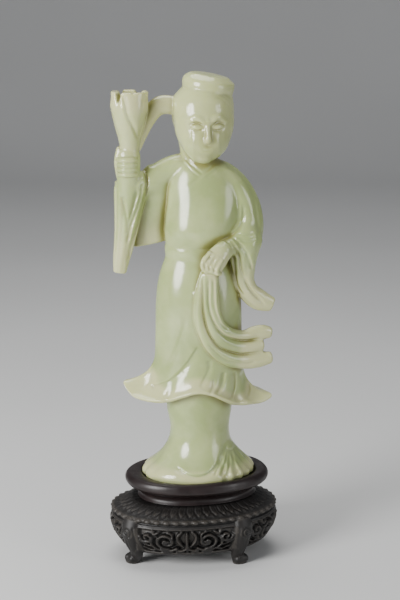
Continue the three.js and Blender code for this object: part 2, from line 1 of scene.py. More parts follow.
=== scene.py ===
# Looks of a jade lady who holds up a magnolia bud, on a carved hardwood stand.
# Shapes are worked out in millimetres, in the axes of the station the lady was drawn up from:
# X to the right, Y away, Z up. They are turned into the frame's axes and into metres at the end.
import math

import bpy
import numpy as np
import openvdb
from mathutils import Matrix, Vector


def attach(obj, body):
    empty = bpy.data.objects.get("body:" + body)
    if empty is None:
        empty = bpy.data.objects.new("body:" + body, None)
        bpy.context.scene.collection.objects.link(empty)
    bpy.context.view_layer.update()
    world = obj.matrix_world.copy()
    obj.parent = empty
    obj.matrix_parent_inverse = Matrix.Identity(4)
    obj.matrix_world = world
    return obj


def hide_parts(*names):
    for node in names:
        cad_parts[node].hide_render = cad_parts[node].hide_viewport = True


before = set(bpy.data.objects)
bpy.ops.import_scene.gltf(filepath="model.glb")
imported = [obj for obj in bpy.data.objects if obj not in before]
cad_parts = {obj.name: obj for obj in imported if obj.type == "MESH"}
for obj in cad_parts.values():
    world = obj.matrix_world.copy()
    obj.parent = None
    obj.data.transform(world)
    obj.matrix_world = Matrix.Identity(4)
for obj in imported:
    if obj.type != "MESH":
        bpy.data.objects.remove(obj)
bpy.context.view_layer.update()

STATION_TURN = math.radians(15)
LADY_PLACE = (1.16, -0.31)
MM = 0.001

# Camera
EYE_DISTANCE = 935
EYE_HEIGHT = math.radians(13.5)
EYE_TARGET = (2, 0, 132)


def to_frame(point):
    """A station point in millimetres as a frame point in metres."""
    c, s = math.cos(STATION_TURN), math.sin(STATION_TURN)
    x, y, z = point
    return Vector(((x * c + y * s + LADY_PLACE[0]) * MM, (y * c - x * s + LADY_PLACE[1]) * MM, z * MM))


def aim(obj, place, target):
    obj.location = place
    obj.rotation_euler = (target - place).to_track_quat("-Z", "Y").to_euler()
    bpy.context.scene.collection.objects.link(obj)
    return obj


camera_data = bpy.data.cameras.new("camera")
camera_data.sensor_fit = "VERTICAL"
camera_data.sensor_height = 36
camera_data.lens = 112.2
camera_data.clip_start = 0.01
eye = (
    EYE_TARGET[0],
    EYE_TARGET[1] - EYE_DISTANCE * math.cos(EYE_HEIGHT),
    EYE_TARGET[2] + EYE_DISTANCE * math.sin(EYE_HEIGHT),
)
camera = aim(bpy.data.objects.new("camera", camera_data), to_frame(eye), to_frame(EYE_TARGET))
bpy.context.scene.camera = camera

# Shapes
TANGENT_STEP = 0.004


def between(rows, u, closed=False):
    """Rows of numbers on a smooth curve through the given rows, for each u from 0 to 1."""
    rows = np.asarray(rows, float)
    count = len(rows)
    spans = count if closed else count - 1
    place = np.clip(np.atleast_1d(u), 0, 1) * spans
    first = np.minimum(np.floor(place).astype(int), spans - 1)
    t = (place - first)[:, None]

    def row(k):
        return rows[k % count] if closed else rows[np.clip(k, 0, count - 1)]

    a, b, c, d = row(first - 1), row(first), row(first + 1), row(first + 2)
    m0, m1 = (c - a) / 2, (d - b) / 2
    t2, t3 = t * t, t**3
    return (2 * t3 - 3 * t2 + 1) * b + (t3 - 2 * t2 + t) * m0 + (3 * t2 - 2 * t3) * c + (t3 - t2) * m1


def rounded(angle, square):
    c, s = np.cos(angle), np.sin(angle)
    size = (np.abs(c) ** square + np.abs(s) ** square) ** (1 / square)
    return c / size, s / size


def bump(degrees, middle, width):
    off = np.abs((degrees - middle + 540) % 360 - 180) / width
    return np.where(off < 1, 0.5 + 0.5 * np.cos(np.pi * np.minimum(off, 1)), 0)


def fade(value, low, high):
    t = np.clip((value - low) / (high - low), 0, 1)
    return t * t * (3 - 2 * t)


def skin(rings):
    """A closed shell over rings of equally many points, with a fan at each end."""
    rings = np.asarray(rings, float)
    steps, count, _ = rings.shape
    points = np.concatenate([rings.reshape(-1, 3), [rings[0].mean(0)], [rings[-1].mean(0)]])
    i, j = np.meshgrid(np.arange(steps - 1), np.arange(count), indexing="ij")
    a, b = (i * count + j).ravel(), (i * count + (j + 1) % count).ravel()
    quads = np.stack([a, b, b + count, a + count], 1)
    j = np.arange(count)
    nxt = (j + 1) % count
    last = (steps - 1) * count
    foot, head = steps * count, steps * count + 1
    tris = np.concatenate([
        np.stack([np.full(count, foot), nxt, j], 1),
        np.stack([np.full(count, head), last + j, last + nxt], 1),
    ])
    return points, quads, tris


def unit(v):
    return v / np.maximum(np.linalg.norm(v, axis=-1, keepdims=True), 1e-9)


def limb(rows, steps=44, sides=40, square=2.0, facing=(0, -1, 0), fold=None, lift=None, ends=(0, 0)):
    """A limb, sleeve, ribbon or petal. Rows are x, y, z, half width, half depth along its middle line.
    90 degrees round its section lies the side that faces the viewer."""
    u = np.linspace(0, 1, steps + 1)
    p = between(rows, u)
    tangent = unit(between(rows, u + TANGENT_STEP)[:, :3] - between(rows, u - TANGENT_STEP)[:, :3])
    across = unit(np.cross(np.asarray(facing, float), tangent))
    outward = np.cross(tangent, across)
    angle = np.linspace(0, 2 * np.pi, sides, endpoint=False)
    c, s = rounded(angle, square)
    rings = []

    def ring(i, slide, scale):
        factor = scale * (fold(np.degrees(angle), u[i]) if fold else 1) * np.ones(sides)
        shift = slide + (lift(np.degrees(angle), u[i]) if lift else 0) * np.ones(sides)
        return (
            p[i, :3] + tangent[i] * shift[:, None]
            + across[i] * (p[i, 3] * c * factor)[:, None]
            + outward[i] * (p[i, 4] * s * factor)[:, None]
        )

    cap = np.radians([15, 35, 55, 72])
    if ends[0]:
        rings += [ring(0, -ends[0] * 1.3 * math.cos(a), math.sin(a) ** 0.8) for a in cap]
    rings += [ring(i, 0, 1) for i in range(steps + 1)]
    if ends[1]:
        rings += [ring(steps, ends[1] * 1.3 * math.cos(a), math.sin(a) ** 0.8) for a in cap[::-1]]
    return skin(rings)


def standing(rows, steps=70, sides=120, turn=0.0, form=None):
    """A standing form of level rings. Rows are z, x, y, half width, half depth."""
    u = np.linspace(0, 1, steps + 1)
    p = between(rows, u)
    angle = np.linspace(0, 2 * np.pi, sides, endpoint=False)
    c, s = np.cos(angle), np.sin(angle)
    rings = []
    for i in range(steps + 1):
        z, x, y, width, depth = p[i]
        factor = form(np.degrees(angle), u[i]) if form else 1
        dx, dy = width * c * factor, depth * s * factor
        rings.append(np.stack([
            x + dx * math.cos(turn) - dy * math.sin(turn),
            y + dx * math.sin(turn) + dy * math.cos(turn),
            np.full(sides, z),
        ], 1))
    return skin(rings)


# Carving block
def smooth_min(a, b, blend, band):
    """The union of two bodies of distances, with a fillet where they meet."""
    least = np.minimum(a, b)
    if not blend:
        return least
    near = np.where(least < blend, np.clip(blend - np.abs(a - b), 0, None), 0)
    return np.maximum(least - near * near / (4 * blend), -band)


class Block:
    """A block of material as distances to its surface, in millimetres: below 0 is inside."""

    def __init__(self, low, high, step, band=5):
        self.low = np.floor(np.asarray(low, float) / step) * step
        self.step = step
        self.cells = band
        self.band = band * step
        self.shape = tuple(int(math.ceil((h - l) / step)) + 1 for l, h in zip(low, high))
        self.values = np.full(self.shape, self.band, np.float32)

    def axis(self, k, start=0, count=None):
        count = self.shape[k] if count is None else count
        return self.low[k] + (start + np.arange(count)) * self.step

    def distances(self, shell):
        points, quads, tris = shell
        grid = openvdb.FloatGrid.createLevelSetFromPolygons(
            (points - self.low).astype(np.float32),
            triangles=tris.astype(np.uint32),
            quads=quads.astype(np.uint32),
            transform=openvdb.createLinearTransform(voxelSize=self.step),
            halfWidth=self.cells,
        )
        low, high = grid.evalActiveVoxelBoundingBox()
        low = np.maximum(low, 0)
        high = np.minimum(high, np.array(self.shape) - 1)
        part = np.empty(tuple(high - low + 1), np.float32)
        grid.copyToArray(part, ijk=tuple(int(v) for v in low))
        return tuple(slice(int(a), int(b) + 1) for a, b in zip(low, high)), part

    def add(self, shell, blend=0.0):
        self.merge(*self.distances(shell), blend)

    def take(self, other, blend=0.0):
        """Joins a smaller block, which lies within this one."""
        first = np.rint((other.low - self.low) / self.step).astype(int)
        start = np.maximum(-first, 0)
        end = np.minimum(self.shape - first, other.shape)
        region = tuple(slice(int(f + a), int(f + b)) for f, a, b in zip(first, start, end))
        part = other.values[tuple(slice(int(a), int(b)) for a, b in zip(start, end))]
        self.merge(region, part, blend)

    def merge(self, region, part, blend):
        self.values[region] = smooth_min(self.values[region], part, blend, self.band)

    def cut(self, shell, blend=0.0):
        region, part = self.distances(shell)
        self.values[region] = -smooth_min(-self.values[region], part, blend, self.band)

    def blob(self, middle, axes, radii, blend, hollow=False):
        """An ellipsoid, raised from the surface, or sunk into it."""
        middle, radii = np.asarray(middle, float), np.asarray(radii, float)
        reach = float(max(radii)) + blend + 2 * self.step
        first = np.maximum(np.floor((middle - reach - self.low) / self.step).astype(int), 0)
        last = np.minimum(np.ceil((middle + reach - self.low) / self.step).astype(int) + 1, self.shape)
        region = tuple(slice(int(a), int(b)) for a, b in zip(first, last))
        mesh = np.stack(np.meshgrid(
            *[self.axis(k, first[k], last[k] - first[k]) for k in range(3)], indexing="ij"), -1)
        local = (mesh - middle) @ np.asarray(axes, float).T
        scaled = np.linalg.norm(local / radii, axis=-1)
        slope = np.linalg.norm(local / radii**2, axis=-1)
        part = (scaled * (scaled - 1) / np.maximum(slope, 1e-6)).astype(np.float32)
        part = np.clip(part, -self.band, self.band)
        if hollow:
            self.values[region] = -smooth_min(-self.values[region], part, blend, self.band)
        else:
            self.merge(region, part, blend)

    def soften(self, passes):
        """Rubs the surface smooth."""
        for _ in range(passes):
            for k in range(3):
                v = np.moveaxis(self.values, k, 0)
                v[1:-1] = 0.25 * v[:-2] + 0.5 * v[1:-1] + 0.25 * v[2:]

    def press(self, relief, side, reach=2.2):
        """Sinks the surface seen first from one side of Y by a map of depths over X and Z."""
        inside = self.values < 0
        if side == "back":
            inside = inside[:, ::-1]
        first = np.argmax(inside, axis=1)
        limit = first + int(reach / self.step)
        rows = np.arange(self.shape[1])
        if side == "back":
            rows = rows[::-1]
        mask = rows[None, :, None] <= limit[:, None, :]
        hit = inside.any(axis=1)
        self.values += np.where(mask & hit[:, None, :], relief[:, None, :], 0).astype(np.float32)

    def at(self, points):
        """The distance at points anywhere in the block."""
        p = (points - self.low) / self.step
        i = np.clip(np.floor(p).astype(int), 0, np.array(self.shape) - 2)
        t = np.clip(p - i, 0, 1)
        v = self.values
        total = 0
        for dx in (0, 1):
            for dy in (0, 1):
                for dz in (0, 1):
                    w = (t[:, 0] if dx else 1 - t[:, 0]) * (t[:, 1] if dy else 1 - t[:, 1])
                    w = w * (t[:, 2] if dz else 1 - t[:, 2])
                    total = total + w * v[i[:, 0] + dx, i[:, 1] + dy, i[:, 2] + dz]
        return total

    def slope(self, points):
        step = 0.75 * self.step
        parts = []
        for k in range(3):
            shift = np.zeros(3)
            shift[k] = step
            parts.append(self.at(points + shift) - self.at(points - shift))
        return unit(np.stack(parts, 1))

    def surface(self, adaptivity):
        """Points and faces of the surface. Flat stretches get fewer faces where adaptivity is higher."""
        grid = openvdb.FloatGrid(self.band)
        grid.transform = openvdb.createLinearTransform(voxelSize=self.step)
        grid.gridClass = openvdb.GridClass.LEVEL_SET
        grid.copyFromArray(self.values, tolerance=1e-6)
        points, tris, quads = grid.convertToPolygons(isovalue=0, adaptivity=adaptivity)
        return points + self.low, tris[:, ::-1], quads[:, ::-1]


class Relief:
    """Depths to sink over a sheet of X and Z."""

    def __init__(self, xs, zs):
        self.xs, self.zs = xs, zs
        self.depths = np.zeros((len(xs), len(zs)), np.float32)

    def line(self, points, depth, sharp, soft=None, ends=0.12):
        """A carved line. On its left, looking along it, the wall is sharp; on its right it eases off over soft."""
        soft = sharp if soft is None else soft
        path = between(points, np.linspace(0, 1, 6 * len(points)))
        reach = 2.6 * max(sharp, soft)
        low, high = path.min(0) - reach, path.max(0) + reach
        i0, i1 = np.searchsorted(self.xs, [low[0], high[0]])
        k0, k1 = np.searchsorted(self.zs, [low[1], high[1]])
        if i1 <= i0 or k1 <= k0:
            return
        x, z = self.xs[i0:i1, None], self.zs[None, k0:k1]
        best = np.full((i1 - i0, k1 - k0), 1e9)
        side = np.zeros_like(best)
        along = np.zeros_like(best)
        for n in range(len(path) - 1):
            a, d = path[n], path[n + 1] - path[n]
            length = max(float(d @ d), 1e-9)
            t = np.clip(((x - a[0]) * d[0] + (z - a[1]) * d[1]) / length, 0, 1)
            off_x, off_z = x - a[0] - t * d[0], z - a[1] - t * d[1]
            dist = np.hypot(off_x, off_z)
            win = dist < best
            best = np.where(win, dist, best)
            side = np.where(win, d[0] * off_z - d[1] * off_x, side)
            along = np.where(win, (n + t) / (len(path) - 1), along)
        width = np.where(side > 0, sharp, soft)
        shape = depth * np.exp(-((best / width) ** 2))
        shape *= fade(along, 0, ends) * (1 - fade(along, 1 - ends, 1)) if ends else 1
        own = self.depths[i0:i1, k0:k1]
        self.depths[i0:i1, k0:k1] = np.maximum(own, shape)


# The lady
STEP = 0.38
SKIRT_TOP = 158
HIP_HEIGHT = 106
FOOT_LEVEL = 42.2
FOOT_MIDDLE = (
    1.3 * math.cos(STATION_TURN) - 0.5 * math.sin(STATION_TURN),
    1.3 * math.sin(STATION_TURN) + 0.5 * math.cos(STATION_TURN),
)


def block_of(low, high):
    return Block(low, high, STEP)


def relief_on(block):
    return Relief(block.axis(0), block.axis(2))


def under_robe():
    rows = [
        [FOOT_LEVEL, *FOOT_MIDDLE, 28.4, 23.1],
        [44.6, *FOOT_MIDDLE, 28.9, 23.6],
        [47.2, FOOT_MIDDLE[0], 0.6, 27.2, 22.4],
        [50.2, 1.6, 0.3, 23.6, 19.6],
        [54.5, 1.9, 0, 19.4, 17],
        [60, 1.8, 0, 15.9, 15.2],
        [67, 1.9, 0, 15, 14.2],
        [76, 1.7, 0, 16.5, 13.4],
        [88, 1.6, 0, 17.4, 12.6],
    ]
    pleats = (-72, -58, -44, -30, -16)
    behind = range(50, 190, 22)

    def form(angle, u):
        low = 1 - fade(u, 0.25, 0.62)
        knee = fade(u, 0.12, 0.3) * (1 - fade(u, 0.4, 0.65))
        fan = sum(bump(angle, middle, 7) for middle in pleats)
        back = sum(bump(angle, middle, 8) for middle in behind)
        return 1 - 0.04 * low * fan - 0.03 * low * back + 0.03 * knee * bump(angle, -100, 45)

    block = block_of((-30, -27, 41.5), (34, 27, 92))
    block.add(standing(rows, steps=60, sides=180, turn=STATION_TURN, form=form))
    relief = relief_on(block)
    relief.line([(-10, 50.6), (-7, 48.5), (-3, 47.1), (1, 46.7), (5, 47.4), (8.5, 49.2), (11, 52.1), (13.1, 57.1),
                 (14.1, 62.4)], 0.9, 0.45, 1.8)
    relief.line([(15.6, 58.6), (14.1, 54.6), (12, 50.7), (9, 46.1)], 0.8, 0.5, 0.9)
    relief.line([(16.1, 57.1), (15.1, 51.3), (12.5, 45.6)], 0.8, 0.5, 0.9)
    relief.line([(16.9, 56.8), (16.9, 50.7), (16.1, 44.6)], 0.8, 0.5, 0.9)
    relief.line([(17.7, 56.5), (19.2, 50.2), (21.2, 45)], 0.8, 0.5, 0.9)
    relief.line([(18.8, 56.6), (22.8, 50.1), (26.9, 44.8)], 0.7, 0.5, 0.9)
    relief.line([(-15.8, 58.7), (-18.3, 53.1), (-22.3, 49), (-25.4, 46.2)], 0.5, 0.5, 1.2)
    relief.line([(-13.1, 54.5), (-16.6, 50.3), (-20.6, 46.9), (-23.2, 43.4)], 0.5, 0.5, 1.2)
    block.press(relief.depths, "front")
    return block


HEM = [
    [-36.9, -2.5, 90.4], [-32.6, -7, 84.9], [-24, -12, 83.7], [-15.4, -15.5, 84.4], [-7.5, -18, 87.2],
    [0.5, -19.5, 89.8], [8.2, -19, 88.8], [14.4, -16, 85.4], [20.5, -11.5, 82], [28, -6, 80.6],
    [35, -1, 80.2], [38.9, 3.5, 82.2], [33, 9.5, 84], [23, 14, 85], [12, 17, 84],
    [0, 18.4, 83.4], [-12, 17, 84], [-22, 13, 86.5], [-31, 6, 89.5],
]


def over_skirt():
    body = [
        [SKIRT_TOP, 0.4, 0, 14.6, 11.3],
        [153, 0.7, 0, 16.4, 12.2],
        [147, 1.2, 0, 19, 13.6],
        [139.5, 1.3, 0, 20.7, 14.6],
        [130, 1.3, 0, 21.5, 15],
        [118, 1.3, 0, 21.7, 15],
        [HIP_HEIGHT, 1.2, 0, 21.9, 15],
    ]
    sides = 240
    hem = between(HEM, np.arange(sides) / sides, True)

    def on_body(u):
        z, x, y, width, depth = between(body, u)[0]
        angle = np.arctan2(hem[:, 1] - y, hem[:, 0] - x)
        reach = 1 / np.hypot(np.cos(angle) / width, np.sin(angle) / depth)
        return np.stack([x + reach * np.cos(angle), y + reach * np.sin(angle), np.full(sides, z)], 1)

    rings = [on_body(u) for u in np.linspace(0, 1, 30)]
    start = rings[-1]
    bend = np.stack([start[:, 0], start[:, 1], hem[:, 2] + 2.5], 1)
    outward = unit(np.stack([start[:, 0] / 22, start[:, 1] / 15, np.zeros(sides)], 1))
    degrees = np.degrees(np.arctan2(hem[:, 1], hem[:, 0]))
    folds = sum(bump(degrees, middle, 9) for middle in (-134, -24, -6, 12, 30, 52, 74, 96, 118, 140, 160))
    for t in np.linspace(0, 1, 30)[1:]:
        ring = start * (1 - t) ** 2 + bend * 2 * t * (1 - t) + hem * t * t
        rings.append(ring - outward * (folds * 0.9 * fade(t, 0.2, 0.9))[:, None])
    edge = rings[-1]

    def inward(share, drop):
        return np.stack([edge[:, 0] * share, edge[:, 1] * share, edge[:, 2] - drop], 1)

    rings += [inward(0.99, 0.8), inward(0.965, 1.5), inward(0.93, 1.7), inward(0.87, 1.4), inward(0.72, -0.6), inward(0.35, -3)]
    block = block_of((-40, -22, 77), (42, 21, 160))
    block.add(skin(rings))
    relief = relief_on(block)
    relief.line([(1.5, 112.7), (-3, 104.9), (-7.9, 98.5), (-13, 93.4), (-19, 90.2), (-23, 89.2)], 0.8, 2.4, 0.5)
    relief.line([(-5.4, 126.3), (-6.4, 120.1), (-8.9, 112.2), (-11.9, 105.2), (-15, 99.6)], 0.35, 1.2, 0.8)
    relief.line([(6, 104.9), (6.5, 100.8), (4.5, 96), (2, 91.4)], 0.5, 1.2, 0.6)
    relief.line([(13.9, 98.1), (13, 91.7), (10.4, 87.8)], 0.9, 0.7, 1.1)
    relief.line([(19, 97.2), (19, 90.6), (17.5, 83.9)], 1.0, 0.7, 1.1)
    relief.line([(22.6, 95.9), (25.2, 90.3), (26.7, 85.8), (25.6, 81.9)], 0.8, 0.7, 1.0)
    relief.line([(9, 95), (8.6, 91), (6.6, 88)], 0.5, 0.6, 0.9)
    block.press(relief.depths, "front")
    behind = relief_on(block)
    for x, lean in ((-15, -10), (-8, -5), (0, 0), (8, 5), (15, 10)):
        behind.line([(x * 0.75, 140), (x * 0.9, 118), (x + lean * 0.2, 100), (x + lean * 0.9, 87)], 0.6, 0.7, 1.6)
    block.press(behind.depths, "back")
    return block


def torso():
    block = block_of((-22, -22, 152), (28, 20, 220))
    block.add(standing([
        [160.2, 0.5, 0, 15, 11.4],
        [161.4, 0.6, -0.4, 15.8, 12.4],
        [168, 2.4, -0.8, 18, 13.9],
        [175.5, 4, -0.8, 19, 13.6],
        [183, 4.6, -0.5, 19, 12.8],
        [190, 4.2, 0, 18.4, 11.7],
        [195, 3.5, 0.4, 17, 10.6],
        [199, 2.5, 0.8, 14.4, 9.5],
        [202, 1.5, 1, 10.8, 8.4],
        [206, 0.4, 1.4, 8.2, 7.2],
        [212, 0, 2.4, 8.6, 7.2],
        [218, 0.6, 3, 9.2, 7.8],
    ]))
    relief = relief_on(block)
    collar_left = [(-5.3, 204.8), (-2.9, 202.3), (-0.4, 200.1), (2, 198.3), (3.5, 197.3)]
    collar_right = [(9.3, 202), (7.4, 200), (4.9, 198.3), (3.5, 197.3), (0.4, 194.4), (-3.6, 191.4)]
    relief.line(collar_left, 0.4, 0.4, 0.8)
    relief.line(collar_right, 0.35, 0.4, 0.8)
    relief.line([(x - 1.6, z - 1.4) for x, z in collar_left], 0.3, 0.35, 0.7)
    relief.line([(x + 1.6, z - 1.8) for x, z in collar_right[:4]], 0.3, 0.35, 0.7)
    block.press(relief.depths, "front")
    belt = block_of((-19, -16, 150), (20, 16, 164))
    belt.add(standing([
        [153.4, 0.5, 0, 14, 10.6],
        [154.4, 0.5, 0, 15.5, 12.0],
        [157.2, 0.5, 0, 16.0, 12.5],
        [160.2, 0.5, 0, 16, 12.4],
        [161.4, 0.6, -0.1, 14.8, 11.2],
    ]))
    block.take(belt, 0.3)
    return block


FACE = [
    [203.4, 3.2, -8.6, 2.4, 2.4],
    [205, 3.4, -6.8, 6, 6.3],
    [208.6, 3.9, -4.6, 9.8, 9.5],
    [213.6, 4, -2.6, 12.7, 12.1],
    [220, 3.8, -1.4, 14.5, 13.6],
    [227, 3.6, -1, 14.9, 14.1],
    [233, 3.7, -0.6, 14, 13.3],
    [238, 4.2, 0, 11, 11],
]
FACE_TURN = 8
FACE_HEIGHTS = np.linspace(0, 1, 400)
FACE_CURVE = between(FACE, FACE_HEIGHTS)


def on_face(degrees, height, out=0.0):
    """A point of the face: degrees round from its middle line, height and stand-out, and its own axes."""
    row = [np.interp(height, FACE_CURVE[:, 0], FACE_CURVE[:, k]) for k in range(1, 5)]
    angle = math.radians(degrees + FACE_TURN - 90)
    point = np.array([row[0] + row[2] * math.cos(angle), row[1] + row[3] * math.sin(angle), height])
    front = np.array([math.cos(angle) / row[2], math.sin(angle) / row[3], 0])
    front /= np.linalg.norm(front)
    right = np.array([-front[1], front[0], 0])
    return point + front * out, np.stack([right, front, [0, 0, 1]])


def head():
    block = block_of((-17, -22, 199), (22, 24, 248))

    def raised(degrees, height, out, radii, blend, hollow=False):
        point, axes = on_face(degrees, height, out)
        block.blob(point, axes, radii, blend, hollow)

    def band(rows, **options):
        return limb([[*on_face(d, h, out)[0], w, t] for d, h, out, w, t in rows], **options)

    block.add(standing(FACE, sides=100))
    for side in (-1, 1):
        raised(side * 21.5, 221.3, 2.3, (4.8, 3.0, 3.2), 1.8, hollow=True)
        raised(side * 30, 213.2, -4.3, (6.5, 4.8, 6.5), 3.5)
        block.add(band([[side * 7, 223.6, -0.9, 0.9, 1.0], [side * 15, 225.2, -0.35, 1.0, 1.0],
                        [side * 25, 225.6, -0.35, 1.0, 1.0], [side * 38, 223.4, -1.0, 0.8, 0.9]]), 1.4)
        raised(side * 21.5, 220.9, -0.75, (3.3, 1.55, 1.75), 0.5)
        raised(side * 6.4, 214.2, -0.2, (1.25, 1.3, 1.1), 0.6)
    block.add(band([[0, 225, -0.8, 0.9, 1.0], [0, 221.5, -0.1, 1.0, 1.2], [0, 218, 0.7, 1.15, 1.4],
                    [0, 215.2, 1.4, 1.5, 1.5], [0, 213.8, 0.6, 1.5, 1.2]], ends=(0.5, 0.6)), 0.9)
    raised(0, 215.1, 1.0, (1.55, 1.7, 1.5), 0.6)
    raised(0, 209.9, -0.5, (3.6, 1.7, 2.6), 1.5)
    raised(-3.4, 210.55, 0.35, (2.0, 0.95, 0.8), 0.5)
    raised(3.4, 210.55, 0.35, (2.0, 0.95, 0.8), 0.5)
    raised(0, 209.15, 0.35, (2.3, 1.0, 0.9), 0.5)
    raised(0, 205.4, -0.9, (2.8, 1.8, 1.9), 1.6)
    relief = relief_on(block)

    def fine(rows, depth, width, soft=None):
        relief.line([on_face(d, h)[0][[0, 2]] for d, h in rows], depth, width, soft, ends=0.2)

    for side in (-1, 1):
        fine([[side * 8.6, 220.2], [side * 14, 219.7], [side * 21.5, 219.5], [side * 29, 220], [side * 35, 221.1]],
             0.42, 0.3, 0.45)
        fine([[side * 9.4, 221.5], [side * 15, 222.9], [side * 22, 223.2], [side * 29, 222.6], [side * 34, 221.8]],
             0.3, 0.3, 0.4)
    fine([[-13, 210.2], [-6, 209.9], [0, 209.75], [6, 209.9], [13, 210.2]], 0.4, 0.28, 0.36)
    fine([[0, 213], [0, 211.6]], 0.25, 0.6)
    middle, opening = np.array([4.3, 215.2]), np.array([14.2, 19.4])
    x, z = relief.xs[:, None], relief.zs[None, :]
    share = (np.abs((x - middle[0]) / opening[0]) ** 2.4 + np.abs((z - middle[1]) / opening[1]) ** 2.4) ** (1 / 2.4)
    hair_height = 0.75 * fade(share, 1.0, 1.035) * fade(z, 208, 214)
    relief.depths -= hair_height.astype(np.float32)
    for k, offset in enumerate((1.08, 1.15, 1.22, 1.3)):
        curve = []
        for a in np.radians(np.linspace(-25, 205, 24)):
            c, s = rounded(a, 2.4)
            curve.append((middle[0] + opening[0] * offset * c, middle[1] + opening[1] * offset * s))
        relief.line(curve, 0.28, 0.3, ends=0.05)
    block.press(relief.depths, "front")

    crown = block_of((-17, -22, 206), (22, 24, 248))
    crown.add(standing([
        [210, 3.2, 4.4, 7, 6],
        [213, 3.2, 4, 10.6, 9.2],
        [216, 3.4, 3.6, 12.8, 11.6],
        [221.5, 3.5, 3, 15, 13.6],
        [227.5, 3.4, 2.4, 15.4, 14.6],
        [233, 3.4, 2, 14.8, 14.8],
        [237.5, 4.4, 1.6, 12.4, 13],
        [241, 5.4, 1.2, 9, 9.6],
    ], sides=100))
    crown.add(limb([
        [2.6, 13, 215, 3, 3.4],
        [2.8, 15.6, 220, 6, 5.6],
        [3, 16, 226, 6.2, 5.8],
        [3.2, 13.4, 231, 3.4, 3.6],
    ], ends=(1.2, 1.2)), 0.6)
    strands = relief_on(crown)
    for k in range(-6, 7):
        strands.line([(3.4 + 2.5 * k, 236), (3.2 + 2.4 * k, 228), (3 + 1.7 * k, 219), (3 + 1.0 * k, 212)], 0.3, 0.35)
    strands.line([(-4, 217.6), (-1, 216.2), (3, 215.7), (7, 216.2), (10, 217.6)], 0.5, 0.5)
    crown.press(strands.depths, "back")
    block.take(crown, 0.35)

    cap = block_of((-12, -16, 232), (22, 16, 248))
    cap.add(limb([
        [5.1, 1, 234.8, 9.6, 9.2],
        [5.2, 1, 235.6, 11.2, 10.6],
        [5.4, 1, 236.8, 12.3, 11.6],
        [5.9, 1, 239.2, 12.9, 12.2],
        [6.3, 1, 242, 12.5, 11.8],
        [6.7, 1, 244.2, 9.8, 9.2],
    ], sides=90, ends=(0.3, 0.6)))
    ring = relief_on(cap)
    ring.line([(-6, 237.6), (0, 237.4), (6, 237), (12, 236.4), (17, 235.6)], 0.35, 0.4)
    cap.press(ring.depths, "front")
    block.take(cap, 0.3)
    return block


def raised_arm():
    block = block_of((-46, -14, 142), (6, 14, 208))
    block.add(limb([
        [-1, 1, 199, 6, 7],
        [-8.5, 1.5, 199.3, 6.3, 7],
        [-16, 1.2, 196, 6.6, 6.4],
        [-23, -0.5, 191.6, 6.6, 6],
        [-29, -2, 188, 6, 5],
    ]), 0.8)
    block.add(limb([
        [-18, 1, 198, 6, 5.2],
        [-21.5, 1.2, 188, 9, 5.4],
        [-24.4, 2, 177, 9.6, 4.8],
        [-24.6, 2.4, 168, 9, 4],
        [-23, 2.4, 160.2, 8.2, 2.6],
    ], square=2.6, sides=60), 1.9)

    def folds(angle, u):
        return 1 - 0.12 * fade(u, 0, 0.3) * (bump(angle, 70, 14) + bump(angle, 112, 14) + bump(angle, 150, 12))

    block.add(limb([
        [-33.6, -4, 195.5, 7.4, 5],
        [-31.8, -4.6, 191, 8.6, 6],
        [-32.4, -5, 185, 7.9, 5.8],
        [-33.3, -5, 177.5, 6.9, 5.2],
        [-34.3, -5, 169.5, 5.9, 4.6],
        [-35.6, -5, 161, 5, 3.8],
        [-37, -5, 153, 4.1, 3],
        [-37.8, -5, 147, 3.2, 2.2],
    ], steps=60, sides=90, fold=folds), 0.8)
    block.soften(2)
    relief = relief_on(block)
    relief.line([(-24.5, 197.2), (-23.9, 191.4), (-25.4, 184.2), (-27.4, 176.7), (-29.9, 168.3), (-32.5, 159.2),
                 (-34.1, 150.9)], 1.0, 0.5, 0.9)
    relief.line([(-25.9, 194), (-26.8, 186.9), (-28.8, 179.5), (-31.9, 170.4), (-33.9, 161.8)], 0.8, 0.5, 0.9)
    relief.line([(-27.8, 189.5), (-30.3, 181.6), (-32.8, 173.6), (-33.8, 166.5)], 0.7, 0.5, 0.9)
    relief.line([(-36.6, 188.5), (-35.1, 182.1), (-33.7, 175.7), (-33.3, 169.5)], 0.7, 0.5, 0.9)
    relief.line([(-40.4, 189.7), (-38.6, 194.9), (-35, 193.6), (-31.6, 191.7), (-28.2, 193.3), (-25.9, 195.7)],
                0.7, 0.4, 0.9)
    block.press(relief.depths, "front")
    behind = relief_on(block)
    for bottom in (-36, -31, -26, -21):
        behind.line([(-26 - (bottom + 28) * 0.1, 194), (bottom * 0.5 - 13.5, 180), (bottom, 164)], 0.5, 0.7, 1.4)
    block.press(behind.depths, "back")
    return block


def raised_hand():
    block = block_of((-42, -16, 184), (-24, 2, 214))
    block.add(limb([
        [-33.3, -6, 186, 5.4, 4.4],
        [-33, -6.3, 194, 5.6, 4.8],
        [-32.8, -6.5, 201, 5.7, 5],
        [-33, -6.4, 206, 5.9, 4.6],
        [-33, -6, 209, 5, 3.8],
    ]))
    for k in range(4):
        z = 204.4 - 2.4 * k
        block.add(limb([
            [-29.4, -7.2, z - 0.1, 1.1, 1.2],
            [-29.5, -9.6, z, 1.25, 1.45],
            [-31.6, -11.5, z + 0.1, 1.3, 1.5],
            [-35, -11.4, z, 1.25, 1.45],
            [-37.6, -9, z - 0.1, 1.05, 1.2],
        ], sides=24, ends=(0, 0.6)), 0.25)
    block.add(limb([
        [-37.4, -6, 195, 1.5, 1.9],
        [-38.2, -6.8, 202, 1.75, 2.1],
        [-37.9, -7, 206.4, 1.6, 1.9],
        [-37.4, -6.8, 209.4, 1.3, 1.5],
    ], sides=24, ends=(0, 0.9)), 0.35)
    return block


